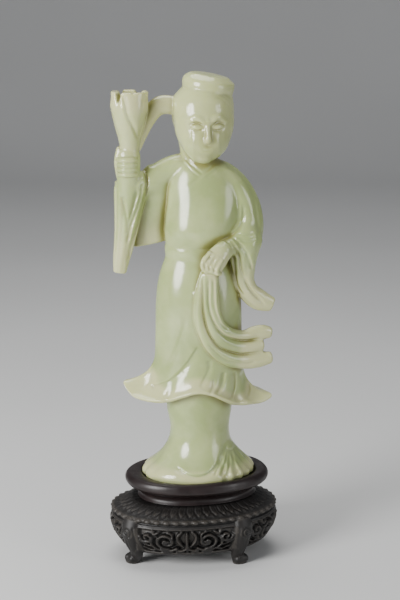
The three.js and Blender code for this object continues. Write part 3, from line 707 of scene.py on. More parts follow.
def bud():
    block = block_of((-44, -18, 202), (-4, 8, 241))
    notch_front, notch_back, nick = 53, 307, 103

    def petals(angle, u):
        """The outer petal at the left stands out below its tip, and the petals part a little at the notch."""
        spread = fade(u, 0.5, 0.95)
        return 1 - 0.07 * spread * (bump(angle, notch_front, 16) + bump(angle, notch_back, 16)) \
            - 0.02 * fade(u, 0.86, 0.9) * bump(angle, 0, 40)

    def tips(angle, u):
        top = fade(u, 0.78, 1)
        gap = np.maximum(5.2 * bump(angle, notch_front, 15), 7.5 * bump(angle, notch_back, 17))
        gap = np.maximum(gap, 0.8 * bump(angle, nick, 6))
        gap = np.maximum(gap, 3.0 * bump(angle, 235, 22))
        return -top * gap

    block.add(limb([
        [-32.4, -6, 206, 4.2, 4],
        [-32.3, -6, 210.6, 4.8, 4.3],
        [-32.3, -6, 214.8, 5.7, 5],
        [-32.4, -6, 219.4, 7, 6],
        [-32.4, -6, 224.3, 8.3, 7],
        [-32.3, -6, 229.2, 9.3, 7.8],
        [-32.2, -6, 233.5, 9.1, 7.8],
        [-32.2, -6, 237.4, 9.2, 7.4],
    ], steps=60, sides=160, fold=petals, lift=tips))
    block.cut(limb([
        [-31.4, -6, 231.5, 2, 1.6],
        [-31.4, -6, 234, 5.0, 3.8],
        [-31.4, -6, 236.4, 6.6, 5.2],
        [-31.4, -6, 242, 7.2, 5.8],
    ], sides=60), 0.6)
    relief = relief_on(block)
    relief.line([(-35.6, 235.9), (-34.2, 232), (-33.6, 228), (-32.2, 224), (-30.2, 219.5), (-28.4, 214.5)],
                0.85, 1.5, 0.4, ends=0.06)
    relief.line([(-24.2, 234.5), (-23.6, 229), (-24.6, 224), (-26.6, 219), (-28.2, 213.5)], 0.7, 0.4, 1.2)
    relief.line([(-42.6, 229.4), (-41.4, 227.4), (-39.4, 221), (-36.8, 213.5)], 0.55, 1.2, 0.4)
    block.press(relief.depths, "front")
    behind = relief_on(block)
    behind.line([(-27.6, 236), (-29, 230), (-31, 222), (-32, 214)], 0.8, 0.4, 1.4)
    behind.line([(-40, 231), (-38, 223), (-35.4, 216)], 0.7, 1.2, 0.4)
    block.press(behind.depths, "back")
    block.add(limb([
        [-29.4, -3.5, 208.5, 2.4, 2.6],
        [-26.8, -2.5, 215, 2.8, 2.8],
        [-23.7, -1.5, 222.6, 3.8, 3],
        [-19.8, -0.5, 228.2, 4.5, 3.2],
        [-15.2, 0.2, 230, 4.7, 3.4],
        [-9, 1, 229, 4.4, 3.4],
    ]), 0.9)
    return block


def lowered_arm():
    block = block_of((4, -20, 122), (46, 14, 208))
    block.add(limb([
        [6, 0.6, 198, 6, 7.4],
        [13.5, 0.8, 195.4, 6.4, 7.8],
        [19.5, 1, 188.6, 7.6, 8.4],
        [23.2, 1, 179.5, 8.7, 8.8],
        [24.6, 1, 170, 9, 8.8],
        [23.8, 0.4, 161, 8.6, 8],
    ], steps=60, sides=72, ends=(0, 2)))
    block.add(limb([
        [26, 1, 165.5, 5.4, 6],
        [20.6, -6, 162.6, 5.2, 5.4],
        [15, -12.4, 160.6, 4.8, 4.6],
        [11, -15.6, 159.4, 4.4, 3.6],
    ]), 1.2)

    def folds(angle, u):
        return 1 - 0.1 * fade(u, 0.15, 0.4) * (bump(angle, 75, 12) + bump(angle, 105, 12) + bump(angle, 140, 12))

    block.add(limb([
        [23.6, -1, 173, 6, 6],
        [23.2, -4.4, 164, 9.7, 7.4],
        [23.3, -5.8, 156, 7.4, 6.2],
        [23.5, -6, 149, 5.8, 4.8],
        [24, -5.8, 142.6, 5.5, 4],
        [27, -5, 136.8, 5.4, 3.4],
        [31.8, -3.8, 132.8, 5.4, 2.8],
        [38.4, -2.2, 130.2, 3.6, 2],
    ], steps=70, sides=90, fold=folds), 1.2)
    block.soften(2)
    relief = relief_on(block)
    relief.line([(19.7, 168), (22.6, 167.4), (25.5, 167.4), (28.5, 167.9)], 0.45, 0.4, 0.8)
    relief.line([(20.1, 166.7), (23.1, 165.8), (26, 165.8), (29, 166.6)], 0.5, 0.4, 0.8)
    relief.line([(21.6, 165.1), (24.6, 164.1), (27, 164.3), (29.5, 165.6)], 0.45, 0.4, 0.8)
    relief.line([(13.3, 164.5), (16.2, 164.2), (18.1, 159.9), (19.2, 152.1), (19.8, 145.3), (21.3, 140.2),
                 (24.8, 135.4)], 0.9, 0.5, 0.9)
    relief.line([(15.7, 165.8), (18.6, 163.1), (21.2, 156.9), (22.7, 149.7), (25.2, 142.4), (29.8, 135.8),
                 (34.8, 130.7)], 1.0, 0.5, 1.0)
    relief.line([(17.7, 166.2), (21.1, 163.6), (24.6, 158.9), (26.6, 153.8), (27.6, 149.5)], 0.8, 0.5, 1.0)
    relief.line([(14.2, 161.3), (16.4, 152.5), (17.3, 146.3), (19.3, 140.2), (22.3, 135.7)], 0.8, 0.5, 0.8)
    relief.line([(12.8, 201.6), (17.7, 199), (21.6, 196.1), (25.1, 191.4), (27.5, 186.1), (29, 179.7), (30, 172.8),
                 (30.5, 166.7), (29.5, 161.6)], 0.5, 1.2, 0.45)
    relief.line([(22.8, 182.7), (23.1, 176.7), (22.1, 172.2), (19.7, 168.9), (15.8, 166), (11.8, 164.7),
                 (7.9, 163.5), (4.9, 161.6)], 0.9, 1.1, 0.45)
    block.press(relief.depths, "front")
    behind = relief_on(block)
    behind.line([(14, 190), (18.5, 182), (20.5, 172), (21, 163)], 0.6, 0.6, 1.5)
    behind.line([(24, 166), (23.4, 156), (24.4, 146), (28.4, 137)], 0.7, 0.6, 1.4)
    behind.line([(28, 163), (27.4, 154), (28.6, 145), (32.4, 135)], 0.6, 0.6, 1.4)
    block.press(behind.depths, "back")
    return block


def lowered_hand():
    block = block_of((-3, -24, 142), (22, -6, 168))
    block.add(limb([
        [15.6, -12.6, 161.6, 4.4, 3.4],
        [12.2, -15, 159, 5.2, 3.6],
        [9.4, -16.4, 155.4, 5.7, 3.4],
        [8.2, -16.2, 151.6, 4.9, 2.8],
    ], ends=(0, 0.8)))
    for k in range(4):
        block.add(limb([
            [7.4 + 1.8 * k, -17.8 - 0.1 * k, 160.4 - 1.3 * k, 1.1, 1.4],
            [4.2 + 2.1 * k, -19.0, 157 - 1.5 * k, 1.3, 1.6],
            [3.4 + 2.3 * k, -19.0, 153.2 - 1.0 * k, 1.3, 1.6],
            [5.2 + 2.2 * k, -17.6, 150.2 - 0.3 * k, 1.15, 1.4],
        ], sides=24, ends=(0, 0.6)), 0.7)
    relief = relief_on(block)
    for k in range(3):
        relief.line([(5.2 + 2.1 * k, 160.2 - 1.4 * k), (3.8 + 2.2 * k, 156.4 - 1.3 * k), (4.6 + 2.3 * k, 151.6 - 0.5 * k)],
                    0.4, 0.35)
    block.press(relief.depths, "front")
    return block


def sash():
    block = block_of((-4, -22, 94), (46, -1, 156))
    block.add(limb([
        [6.8, -14.4, 152, 3.6, 2.4],
        [5.8, -14.8, 140, 5.4, 2.6],
        [6.2, -14.8, 129, 5.6, 2.8],
        [9.2, -14, 118.6, 6.2, 2.8],
        [14.6, -11.4, 111.8, 7.4, 2.8],
        [22, -7.8, 109, 7.6, 2.6],
        [28.6, -6, 109.2, 7, 2],
        [33, -5.4, 109.6, 5.2, 1.4],
    ]))
    strands = [
        [[8.6, -15.6, 150, 2.6, 2.6], [8.8, -15.6, 140, 2.4, 2.6], [9.6, -15.2, 130.4, 2.4, 2.8],
         [12.2, -13.8, 122.6, 2.6, 2.9], [17.6, -11.2, 117.8, 2.6, 2.9], [23.8, -8, 115.9, 2.6, 2.8],
         [29, -6, 116.9, 3.3, 2.6], [33.6, -5, 116.8, 3.8, 2.4], [37.2, -4.4, 116.4, 2.9, 1.8]],
        [[6.8, -15.8, 150, 2.4, 2.4], [5.4, -15.8, 140, 2.6, 2.6], [6, -15.6, 129.6, 2.7, 2.8],
         [8.6, -15, 120.6, 2.9, 2.9], [14.2, -12.8, 113.8, 3.2, 2.9], [21.8, -9, 110.3, 3.3, 2.8],
         [28, -7, 109.9, 3.3, 2.6], [33.2, -5.8, 110.4, 2.6, 1.8]],
        [[4.6, -15.6, 149, 2.4, 2.2], [2.2, -15.8, 139, 2.8, 2.5], [1.6, -15.8, 128, 3, 2.6],
         [4, -15.6, 118.6, 3.4, 2.8], [8.6, -14.8, 110.8, 3.9, 2.9], [15.8, -12, 105.2, 4.2, 2.9],
         [23.8, -8.6, 102.9, 4.2, 2.8], [31, -6.4, 102.8, 4.1, 2.5], [37.4, -5, 103.8, 3.2, 1.8]],
    ]
    for rows in strands:
        block.add(limb(rows, steps=60, ends=(0.5, 0.8)), 0.8)
    block.soften(3)
    relief = relief_on(block)
    relief.line([(1.5, 151.2), (1, 145.4), (0.5, 138.7), (0, 131.1), (0.5, 123.4), (2.5, 115.6), (6, 109.4),
                 (10.4, 104.1), (14.9, 101.1)], 0.6, 0.4, 0.8)
    relief.line([(3.5, 150.6), (3.5, 143.8), (3.5, 138.8), (3.7, 131.2), (5, 123.5), (7.4, 117.4), (11.4, 112),
                 (16.9, 108.7), (23.4, 106.7), (33, 107.4)], 0.9, 0.45, 0.9)
    relief.line([(6.4, 148.4), (6.2, 141.4), (6.4, 133.8), (7.9, 127.2), (10.9, 121.3), (14.8, 117.3), (20.9, 114.3),
                 (26.9, 113.4), (32.4, 114.1)], 0.9, 0.45, 0.9)
    relief.line([(8.8, 147.9), (8.9, 141.3), (9.1, 134.7), (10.4, 128.6), (12.8, 123.3), (17.3, 119.7)], 0.6, 0.4, 0.8)
    relief.line([(5.9, 114.5), (8.9, 110.8), (12.9, 106.8), (17.9, 103.9), (24.4, 102.1), (30.4, 102.6)], 0.6, 0.4, 0.8)
    block.press(relief.depths, "front")
    return block


def carve_lady():
    lady = block_of((-46, -27, 41.4), (46, 27, 248.6))
    lady.take(under_robe())
    lady.take(over_skirt(), 0.5)
    lady.take(torso(), 0.3)
    lady.take(raised_arm(), 0.7)
    lady.take(lowered_arm(), 0.7)
    lady.take(head(), 0.5)
    lady.take(bud(), 0.5)
    lady.take(raised_hand(), 0.35)
    lady.take(sash(), 0.35)
    lady.take(lowered_hand(), 0.3)
    lady.soften(1)
    level = lady.axis(2)[None, None, :]
    lady.values = np.maximum(lady.values, (FOOT_LEVEL - level).astype(np.float32))
    return lady


# Meshes
def mesh_of(name, points, tris, quads, normals=None, shades=None, station=True):
    """A piece from points in millimetres, in the station's axes or the frame's own.
    shades are values per point for its material."""
    c, s = (math.cos(STATION_TURN), math.sin(STATION_TURN)) if station else (1, 0)
    turn = np.array([[c, s, 0], [-s, c, 0], [0, 0, 1]])
    mesh = bpy.data.meshes.new(name)
    faces = [tuple(f) for f in tris.tolist()] + [tuple(f) for f in quads.tolist()]
    shift = np.array([*LADY_PLACE, 0]) if station else 0
    mesh.from_pydata(((points @ turn.T + shift) * MM).tolist(), [], faces)
    mesh.update()
    mesh.polygons.foreach_set("use_smooth", [True] * len(mesh.polygons))
    for label, values in (shades or {}).items():
        mesh.attributes.new(label, "FLOAT", "POINT").data.foreach_set("value", values.astype(np.float32))
    if normals is not None:
        mesh.normals_split_custom_set_from_vertices((normals @ turn.T).tolist())
    obj = bpy.data.objects.new(name, mesh)
    bpy.context.scene.collection.objects.link(obj)
    return obj


def shading(block, points, normals, near, far):
    """How deep in a hollow each point lies, and how thin the body is behind it, from 0 to 1."""
    hollow = 1 - np.clip(block.at(points + normals * near) / near, 0, 1)
    thin = 1 - np.clip(-block.at(points - normals * far) / far, 0, 1)
    return hollow, thin


def coarse_of(points, tris, quads, low, high, step, band):
    block = Block(low, high, step, band)
    region, part = block.distances((points, quads, tris))
    block.values[region] = part
    return block


LADY_MERGE = 0.03
lady_block = carve_lady()
points, tris, quads = lady_block.surface(LADY_MERGE)
normals = lady_block.slope(points)
wide = coarse_of(points, tris, quads, (-52, -34, 34), (52, 34, 256), 1.0, 7)
fine_hollow, fine_thin = shading(lady_block, points, normals, 1.2, 1.6)
wide_hollow, wide_thin = shading(wide, points, normals, 5, 5.5)
lady = mesh_of("jade_lady_carved", points, tris, quads, normals, {
    # painted shade: hollow darkens the jade in its hollows and creases
    "hollow": np.clip(0.6 * wide_hollow + 0.5 * fine_hollow, 0, 1),
    # painted light: thin lightens the jade where it is thin, as if lit through
    "thin": wide_thin,
    "pale": fade(points[:, 2], 190, 222),
})


# The stand
OVAL_SQUARE = 2.15
DRUM_OVAL = (43.8, 32.7)
TRAY_OVAL = (36.9, 27.6)
DRUM_TOP = 31
RECESS = (29.3, 24.0)
TRAY_MIDDLE = (LADY_PLACE[0] + 0.6, LADY_PLACE[1] + 0.8)
RECESS_OFFSET = (0.7, -0.3)
LEG_ANGLES = ((-150, -159), (-65, -62), (30, 21), (115, 118))
POST_WIDTH = 17
DRUM_PROFILE = np.array([
    [6.5, 35.6, 26],
    [8.6, 38.4, 28.4],
    [9.4, 38.9, 28.8],
    [14, 41.9, 31.3],
    [19, 43.4, 32.4],
    [22.4, 42.8, 32],
    [22.9, 42.6, 31.8],
    [24.6, 41.4, 30.8],
    [25.3, 42.1, 31.6],
    [26.6, 41.6, 31],
    [28.4, 37, 27],
    [DRUM_TOP, 31.6, 23],
])
WOOD_STEP = 0.34


def ovals(rows, sides):
    """Shell of level ovals. Rows are height, half width, half depth and the middle."""
    angle = np.linspace(0, 2 * np.pi, sides, endpoint=False)
    c, s = rounded(angle, OVAL_SQUARE)
    return skin([np.stack([x + w * c, y + d * s, np.full(sides, z)], 1) for z, w, d, x, y in rows])


def drum_size(z):
    return [np.interp(z, DRUM_PROFILE[:, 0], DRUM_PROFILE[:, k]) for k in (1, 2)]


def on_drum(degrees, z, push=0.0, size=None):
    """A point of the drum's side and the way out from it."""
    w, d = size or drum_size(z)
    c, s = rounded(math.radians(degrees), OVAL_SQUARE)
    out = np.array([c / w, s / d, 0])
    out /= np.linalg.norm(out)
    return np.array([w * c, d * s, z]) + out * push, out


# How far round the oval an angle lies, in millimetres of its widest line
ROUND_ANGLES = np.linspace(-180, 180, 1441)
_c, _s = rounded(np.radians(ROUND_ANGLES), OVAL_SQUARE)
_path = np.stack([DRUM_OVAL[0] * _c, DRUM_OVAL[1] * _s], 1)
ROUND_LENGTHS = np.concatenate([[0], np.cumsum(np.hypot(*np.diff(_path, axis=0).T))])
ROUND = float(ROUND_LENGTHS[-1])


def length_at(degrees):
    return float(np.interp((degrees + 180) % 360 - 180, ROUND_ANGLES, ROUND_LENGTHS))


class Sheet:
    """The drum's side unrolled: lengths round it against heights, with a depth to sink at each place."""

    def __init__(self, step):
        self.step = step
        self.us = np.arange(0, ROUND, step)
        self.zs = np.arange(5, DRUM_TOP + 1, step)
        self.cover = np.zeros((len(self.us), len(self.zs)), np.float32)
        self.cuts = np.zeros_like(self.cover)

    def draw(self, points, width, cut=0.0):
        """A raised strap of a half width at each end, or, with a cut, a groove of that depth."""
        path = between(points, np.linspace(0, 1, 7 * len(points)))
        widths = np.linspace(*width, len(path)) if isinstance(width, tuple) else np.full(len(path), width)
        reach = float(max(widths)) * 1.6
        low, high = path.min(0) - reach, path.max(0) + reach
        cols = np.arange(int(math.floor(low[0] / self.step)), int(math.ceil(high[0] / self.step)) + 1)
        k0, k1 = np.searchsorted(self.zs, [low[1], high[1]])
        x, z = (cols * self.step)[:, None], self.zs[None, k0:k1]
        best = np.full((len(cols), k1 - k0), 9.0)
        for n in range(len(path) - 1):
            a, d = path[n], path[n + 1] - path[n]
            t = np.clip(((x - a[0]) * d[0] + (z - a[1]) * d[1]) / max(float(d @ d), 1e-9), 0, 1)
            off = np.hypot(x - a[0] - t * d[0], z - a[1] - t * d[1]) / widths[n]
            best = np.minimum(best, off)
        shape = np.clip(1.25 * np.sqrt(np.clip(1 - best**2, 0, 1)), 0, 1)
        target = self.cuts if cut else self.cover
        around = cols % len(self.us)
        target[around[:, None], np.arange(k0, k1)] = np.maximum(
            target[around[:, None], np.arange(k0, k1)], shape * (cut or 1))


def spiral(u, z, start, end, turns, way, phase):
    """Points of a scroll that opens out from its eye."""
    t = np.linspace(0, 1, int(12 * turns))
    radius = start + (end - start) * t
    angle = phase + way * 2 * np.pi * turns * t
    return np.stack([u + radius * np.cos(angle), z + 0.95 * radius * np.sin(angle)], 1)


def carve_panel(sheet, middle, half):
    """Scrolls and leaves on both sides of a palmette, mirrored about the middle of the panel."""
    for side in (-1, 1):
        def at(points):
            return [(middle + side * u * half / 22, z) for u, z in points]

        big = spiral(0, 0, 0.7, 4.8, 1.5, -1, math.pi / 2)
        sheet.draw(at([(9.4 + u, 15.4 + z) for u, z in big]), (0.75, 1.05))
        small = spiral(0, 0, 0.5, 3.0, 1.25, 1, -math.pi / 2)
        sheet.draw(at([(18.4 + u, 17.2 + z) for u, z in small]), (0.65, 0.9))
        sheet.draw(at([(5.0, 11.4), (9, 9.9), (13.6, 10.6), (16.4, 13.2), (15.6, 16.6)]), (1.0, 0.8))
        sheet.draw(at([(12.6, 20.6), (14.6, 19.4), (15.4, 21.4)]), (0.9, 0.6))
        sheet.draw(at([(14, 10.9), (17.6, 10.2), (21, 11.6)]), (0.9, 0.6))
        sheet.draw(at([(16.6, 12.8), (19.2, 13.2), (21.6, 15)]), (0.8, 0.5))
        sheet.draw(at([(2.4, 20.8), (4.2, 18.6), (3.8, 15.6), (1.6, 12.6)]), (0.9, 0.7))
        sheet.draw(at([(0.4, 11.2), (2.6, 10), (5.4, 9.8)]), (0.9, 0.6))
        sheet.draw(at([(8.6, 20.9), (6.6, 19.6), (6.2, 17.4)]), (0.7, 0.5))
        sheet.draw(at([(8.2, 15.6), (10.2, 14.4)]), 0.9)
    sheet.draw([(middle, 10.4), (middle, 14), (middle, 20.6)], (1.2, 0.6))


def carve_sides():
    """The sunk frieze with its scrolls, the rails, the lappets of the shoulder and the volutes of the legs."""
    sheet = Sheet(0.3)
    ground = np.zeros_like(sheet.cover)
    z = sheet.zs[None, :]
    panel_rows = fade(z, 8.9, 9.5) * (1 - fade(z, 21.3, 21.9))
    posts = [length_at(post) for post, _ in LEG_ANGLES]
    for k, start in enumerate(posts):
        end = posts[(k + 1) % len(posts)]
        span = (end - start) % ROUND
        middle, half = start + span / 2, span / 2 - 5.4
        off = np.abs((sheet.us - middle + ROUND / 2) % ROUND - ROUND / 2)
        ground = np.maximum(ground, panel_rows * (1 - fade(off, half - 0.4, half + 0.3))[:, None])
        carve_panel(sheet, middle, half)
        sheet.draw(spiral(start, 18.6, 0.5, 2.7, 1.4, 1 if k % 2 else -1, math.pi / 2), 0.42, cut=0.75)
        for side in (-1, 1):
            sheet.draw([(start + side * 3.7, 21.4), (start + side * 3.9, 15), (start + side * 3.2, 9.5)], 0.4, cut=0.6)
        sheet.draw([(start, 14.6), (start, 9.5)], 0.4, cut=0.5)
    lappets = 46
    pitch = ROUND / lappets
    for n in range(lappets):
        u = n * pitch
        sheet.draw([(u, 30.6), (u + 0.1 * pitch, 28.6), (u + pitch / 2, 27.2), (u + 0.9 * pitch, 28.6), (u + pitch, 30.6)],
                   0.36, cut=0.55)
        for share in (0.34, 0.66):
            sheet.draw([(u + share * pitch, 30.4), (u + share * pitch, 28.4)], 0.26, cut=0.35)
    for level, depth in ((22.5, 0.5), (24.0, 0.6), (26.9, 0.45)):
        sheet.draw([(0, level), (ROUND * 0.25, level), (ROUND * 0.5, level), (ROUND * 0.75, level), (ROUND, level)],
                   0.36, cut=depth)
    return sheet, 2.3 * ground * (1 - sheet.cover) + sheet.cuts


def carve_drum():
    block = Block((-46.5, -35.5, -1.5), (46.5, 35.5, DRUM_TOP + 1), WOOD_STEP, band=9)
    rows = [[9.5, 29, 20, 0, 0], [6.9, 32.4, 23.2, 0, 0]]
    heights = np.concatenate([DRUM_PROFILE[:, 0], np.arange(7, 31, 0.4)])
    rows += [[z, *drum_size(z), 0, 0] for z in np.unique(np.round(heights, 3))]
    block.add(ovals(rows, 240))
    block.soften(2)
    sheet, depths = carve_sides()
    x, y = block.axis(0)[:, None], block.axis(1)[None, :]
    angle = np.degrees(np.arctan2(y / DRUM_OVAL[1], x / DRUM_OVAL[0]))
    place = np.interp(angle.ravel(), ROUND_ANGLES, ROUND_LENGTHS).reshape(angle.shape)
    column = np.rint(place / sheet.step).astype(int) % len(sheet.us)
    share = (np.abs(x / DRUM_OVAL[0]) ** OVAL_SQUARE + np.abs(y / DRUM_OVAL[1]) ** OVAL_SQUARE) ** (1 / OVAL_SQUARE)
    for k, z in enumerate(block.axis(2)):
        if not 8 < z < DRUM_TOP:
            continue
        row = int(round((z - sheet.zs[0]) / sheet.step))
        outer = share > (drum_size(z)[0] - 8) / DRUM_OVAL[0]
        block.values[:, :, k] += np.where(outer, depths[column, min(row, depths.shape[1] - 1)], 0)
    for post, toe in LEG_ANGLES:
        facing = on_drum(post, 20)[1]
        rows = []
        for degrees, share_out, z, width, depth in (
            (post, 0.93, 25, 4.4, 2.6), (post, 0.968, 20, 4.8, 3), (post, 0.94, 14, 4.4, 3),
            (post, 0.88, 8.5, 3.8, 2.9), ((post + toe) / 2, 0.82, 4.6, 3.4, 2.8), (toe, 0.83, 1.8, 3.8, 3.2),
            (toe, 0.84, -1, 3.7, 3.1),
        ):
            size = [half * share_out for half in DRUM_OVAL]
            rows.append([*on_drum(degrees, z, size=size)[0], width, depth])
        own = Block((-46.5, -35.5, -1.5), (46.5, 35.5, 27), WOOD_STEP, band=9)
        own.add(limb(rows, steps=50, sides=48, facing=facing))
        for k, z in enumerate(own.axis(2)):
            if z > 9:
                row = int(round((z - sheet.zs[0]) / sheet.step))
                own.values[:, :, k] += sheet.cuts[column, row] * (z < 22)
        block.take(own, 0.5)
        for side in (-1, 1):
            point, out = on_drum(toe + side * 3.2, 2.4, size=[half * 0.86 for half in DRUM_OVAL])
            block.blob(point, np.stack([np.cross([0, 0, 1], out), out, [0, 0, 1]]), (1.9, 2.4, 2.2), 0.4)
    beads = 48
    for n in range(beads):
        degrees = float(np.interp(ROUND * (n + 0.5) / beads, ROUND_LENGTHS, ROUND_ANGLES))
        point, out = on_drum(degrees, 25.5, -0.1)
        block.blob(point, np.stack([np.cross([0, 0, 1], out), out, [0, 0, 1]]), (1.75, 1.0, 1.0), 0.25)
    block.soften(1)
    level = block.axis(2)[None, None, :]
    block.values = np.maximum(block.values, (0.0 - level).astype(np.float32))
    return block


def turn_tray():
    """The tray and its waist: up the outside, over the rim, down into the recess, as one turned section."""
    w, d = TRAY_OVAL
    rise = [
        [DRUM_TOP + 0.3, 30.5, 22.4], [33.2, 29.4, 21.4], [35.6, 30.6, 22.6], [37, 34, 25.6], [38.6, 36.2, 27.7],
        [40.6, w, d], [42.3, w - 0.6, d - 0.5], [43.3, w - 1.8, d - 1.4], [43.5, w - 3, d - 2.2],
    ]
    rows = [[*row, 0, 0] for row in between(rise, np.linspace(0, 1, 60))]
    rows += [
        [43.5, w - 3.6, d - 2.9, 0, 0],
        [43.42, RECESS[0] + 1.1, RECESS[1] + 0.7, *RECESS_OFFSET],
        [43.3, RECESS[0] + 0.55, RECESS[1] + 0.3, *RECESS_OFFSET],
        [42.9, RECESS[0] + 0.1, RECESS[1] + 0.05, *RECESS_OFFSET],
        [41.9, *RECESS, *RECESS_OFFSET],
        [41.9, RECESS[0] * 0.8, RECESS[1] * 0.8, *RECESS_OFFSET],
    ]
    points, quads, tris = ovals(rows, 180)
    return points + np.array([*TRAY_MIDDLE, 0]), quads, tris


DRUM_MERGE = 0.07
drum_block = carve_drum()
points, tris, quads = drum_block.surface(DRUM_MERGE)
normals = drum_block.slope(points)
# hollow drives painted shade in the drum's hollows; ridge drives the lighter raised carving, partly wear and partly
# painted highlight.
hollow = 1 - np.clip(drum_block.at(points + normals * 2.2) / 2.2, 0, 1)
ridge = 1 - np.clip(-drum_block.at(points - normals * 1.3) / 1.3, 0, 1)
drum = mesh_of("stand_drum_carved", points, tris, quads, normals, {"hollow": hollow, "ridge": ridge}, False)

points, quads, tris = turn_tray()
tray = mesh_of("stand_tray_turned", points, tris, quads, station=False)


# Materials
class Recipe:
    """A node material that is put together step by step."""

    def __init__(self, name):
        self.material = bpy.data.materials.new(name)
        self.material.use_nodes = True
        self.tree = self.material.node_tree
        self.shader = self.tree.nodes["Principled BSDF"]

    def node(self, kind, **settings):
        made = self.tree.nodes.new(kind)
        for key, value in settings.items():
            setattr(made, key, value)
        return made

    def link(self, source, target):
        self.tree.links.new(source, target)

    def noise(self, scale, detail=4, distortion=0.0):
        where = self.node("ShaderNodeTexCoord")
        noise = self.node("ShaderNodeTexNoise")
        noise.inputs["Scale"].default_value = scale
        noise.inputs["Detail"].default_value = detail
        noise.inputs["Distortion"].default_value = distortion
        self.link(where.outputs["Object"], noise.inputs["Vector"])
        return noise.outputs["Fac"]

    def ramp(self, source, low, high, to_low=0.0, to_high=1.0):
        ramp = self.node("ShaderNodeMapRange", interpolation_type="SMOOTHSTEP")
        for label, value in (("From Min", low), ("From Max", high), ("To Min", to_low), ("To Max", to_high)):
            ramp.inputs[label].default_value = value
        self.link(source, ramp.inputs["Value"])
        return ramp.outputs["Result"]

    def attribute(self, label):
        return self.node("ShaderNodeAttribute", attribute_name=label).outputs["Fac"]

    def math(self, operation, a, b):
        node = self.node("ShaderNodeMath", operation=operation)
        for socket, value in zip(node.inputs, (a, b)):
            if isinstance(value, (int, float)):
                socket.default_value = value
            else:
                self.link(value, socket)
        return node.outputs[0]

    def mix(self, share, a, b):
        node = self.node("ShaderNodeMix", data_type="RGBA")
        self.link(share, node.inputs["Factor"])
        for label, value in (("A", a), ("B", b)):
            socket = next(s for s in node.inputs if s.name == label and s.type == "RGBA")
            if isinstance(value, tuple):
                socket.default_value = (*value, 1)
            else:
                self.link(value, socket)
        return next(s for s in node.outputs if s.type == "RGBA")


def jade():
    r = Recipe("jade")
    cloud = r.ramp(r.noise(38, 5, 0.6), 0.35, 0.7)
    veil = r.ramp(r.noise(110, 3, 0.3), 0.45, 0.75)
    body = r.mix(cloud, (0.34, 0.41, 0.16), (0.46, 0.53, 0.24))
    body = r.mix(r.math("MULTIPLY", veil, 0.25), body, (0.58, 0.60, 0.34))
    body = r.mix(r.math("MULTIPLY", r.attribute("pale"), 0.6), body, (0.62, 0.63, 0.32))
    # Painted light: thin parts are paled towards beige, standing in for light shining through the stone.
    thin = r.ramp(r.attribute("thin"), 0.15, 0.85, 0, 0.8)
    body = r.mix(thin, body, (0.61, 0.60, 0.33))
    # Painted shade: the jade is darkened to olive in hollows and creases, where shade falls.
    hollow = r.ramp(r.attribute("hollow"), 0.1, 0.7, 0, 0.9)
    body = r.mix(hollow, body, (0.26, 0.25, 0.075))
    r.link(body, r.shader.inputs["Base Color"])
    r.shader.inputs["Subsurface Weight"].default_value = 0.5
    r.shader.inputs["Subsurface Radius"].default_value = (1.0, 1.1, 0.55)
    r.shader.inputs["Subsurface Scale"].default_value = 0.0035
    r.shader.inputs["IOR"].default_value = 1.6
    r.shader.inputs["Specular IOR Level"].default_value = 0.5
    r.shader.inputs["Coat Weight"].default_value = 0.15
    r.shader.inputs["Coat Roughness"].default_value = 0.12
    rough = r.ramp(r.noise(260, 3), 0.3, 0.75, 0.12, 0.22)
    r.link(rough, r.shader.inputs["Roughness"])
    bump_node = r.node("ShaderNodeBump")
    bump_node.inputs["Strength"].default_value = 0.08
    bump_node.inputs["Distance"].default_value = 0.0004
    r.link(r.noise(420, 4), bump_node.inputs["Height"])
    r.link(bump_node.outputs["Normal"], r.shader.inputs["Normal"])
    return r.material


def wood(name, dark, ridge, roughness, wear_and_highlight=0.0):
    r = Recipe(name)
    grain = r.ramp(r.noise(90, 5, 1.2), 0.35, 0.7)
    body = r.mix(grain, dark, tuple(1.5 * v for v in dark))
    if wear_and_highlight:
        # Raised carving made lighter: partly wear, partly a painted highlight.
        edge = r.ramp(r.attribute("ridge"), 0.05, 0.5, 0, wear_and_highlight)
        body = r.mix(edge, body, ridge)
        # Painted shade: the carving is darkened in its hollows, where shade falls.
        hollow = r.ramp(r.attribute("hollow"), 0.1, 0.7, 0, 0.8)
        body = r.mix(hollow, body, tuple(0.35 * v for v in dark))
    r.link(body, r.shader.inputs["Base Color"])
    rough = r.ramp(r.noise(160, 4), 0.3, 0.7, roughness - 0.06, roughness + 0.08)
    r.link(rough, r.shader.inputs["Roughness"])
    bump_node = r.node("ShaderNodeBump")
    bump_node.inputs["Strength"].default_value = 0.15
    bump_node.inputs["Distance"].default_value = 0.0003
    r.link(r.noise(300, 5, 0.8), bump_node.inputs["Height"])
    r.link(bump_node.outputs["Normal"], r.shader.inputs["Normal"])
    return r.material


lady.data.materials.append(jade())
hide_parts("jade_lady")
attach(lady, "root")

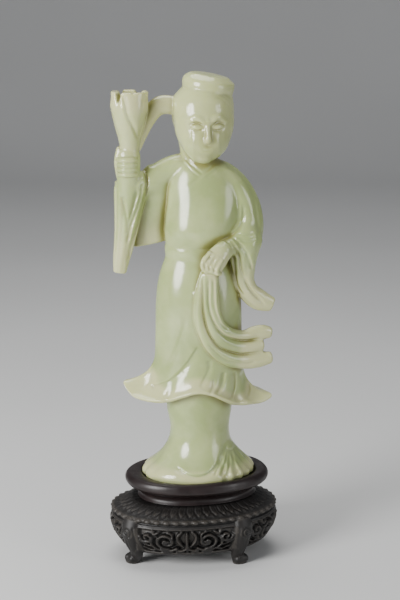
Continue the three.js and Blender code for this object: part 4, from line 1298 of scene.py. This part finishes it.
tray.data.materials.append(wood("tray_wood", (0.0085, 0.0038, 0.0036), (0.02, 0.012, 0.01), 0.4))
drum.data.materials.append(wood("drum_wood", (0.0055, 0.0042, 0.0034), (0.04, 0.034, 0.028), 0.52, wear_and_highlight=0.8))
for piece, node, slot in ((tray, "stand_tray", "tray_wood"), (drum, "stand_drum", "drum_wood")):
    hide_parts(node)
    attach(piece, "root")

# Floor and lights
SWEEP_RADIUS = 0.5
SWEEP_BACK = 1.1
profile = [(-1.6, 0.0), (SWEEP_BACK, 0.0)]
profile += [(SWEEP_BACK + SWEEP_RADIUS * math.sin(a), SWEEP_RADIUS * (1 - math.cos(a)))
            for a in np.radians(np.linspace(6, 90, 15))]
profile += [(SWEEP_BACK + SWEEP_RADIUS, 2.2)]
floor_mesh = bpy.data.meshes.new("floor")
floor_points = [(x, y, z) for x in (-3.0, 3.0) for y, z in profile]
count = len(profile)
floor_mesh.from_pydata(floor_points, [], [(i, count + i, count + i + 1, i + 1) for i in range(count - 1)])
for polygon in floor_mesh.polygons:
    polygon.use_smooth = True
floor = bpy.data.objects.new("floor", floor_mesh)
floor.rotation_euler = (0, 0, -STATION_TURN)
bpy.context.scene.collection.objects.link(floor)
paper = Recipe("paper")
shade = paper.mix(paper.ramp(paper.noise(3, 2), 0.2, 0.8), (0.60, 0.60, 0.59), (0.64, 0.64, 0.63))
paper.link(shade, paper.shader.inputs["Base Color"])
paper.shader.inputs["Roughness"].default_value = 0.9
floor.data.materials.append(paper.material)


def softbox(name, place, target, size, power):
    data = bpy.data.lights.new(name, "AREA")
    data.shape = "ELLIPSE"
    data.size, data.size_y = size
    data.energy = power
    return aim(bpy.data.objects.new(name, data), to_frame(place), to_frame(target))


softbox("key", (-520, -470, 330), (0, 0, 130), (0.34, 0.46), 8.5)
softbox("fill", (640, -420, 260), (0, 0, 120), (0.30, 0.5), 1.6)
softbox("top", (-60, 160, 800), (0, 0, 100), (0.6, 0.6), 4.2)
world = bpy.data.worlds.new("studio")
world.use_nodes = True
world.node_tree.nodes["Background"].inputs["Color"].default_value = (0.9, 0.93, 1.0, 1)
world.node_tree.nodes["Background"].inputs["Strength"].default_value = 0.22
bpy.context.scene.world = world
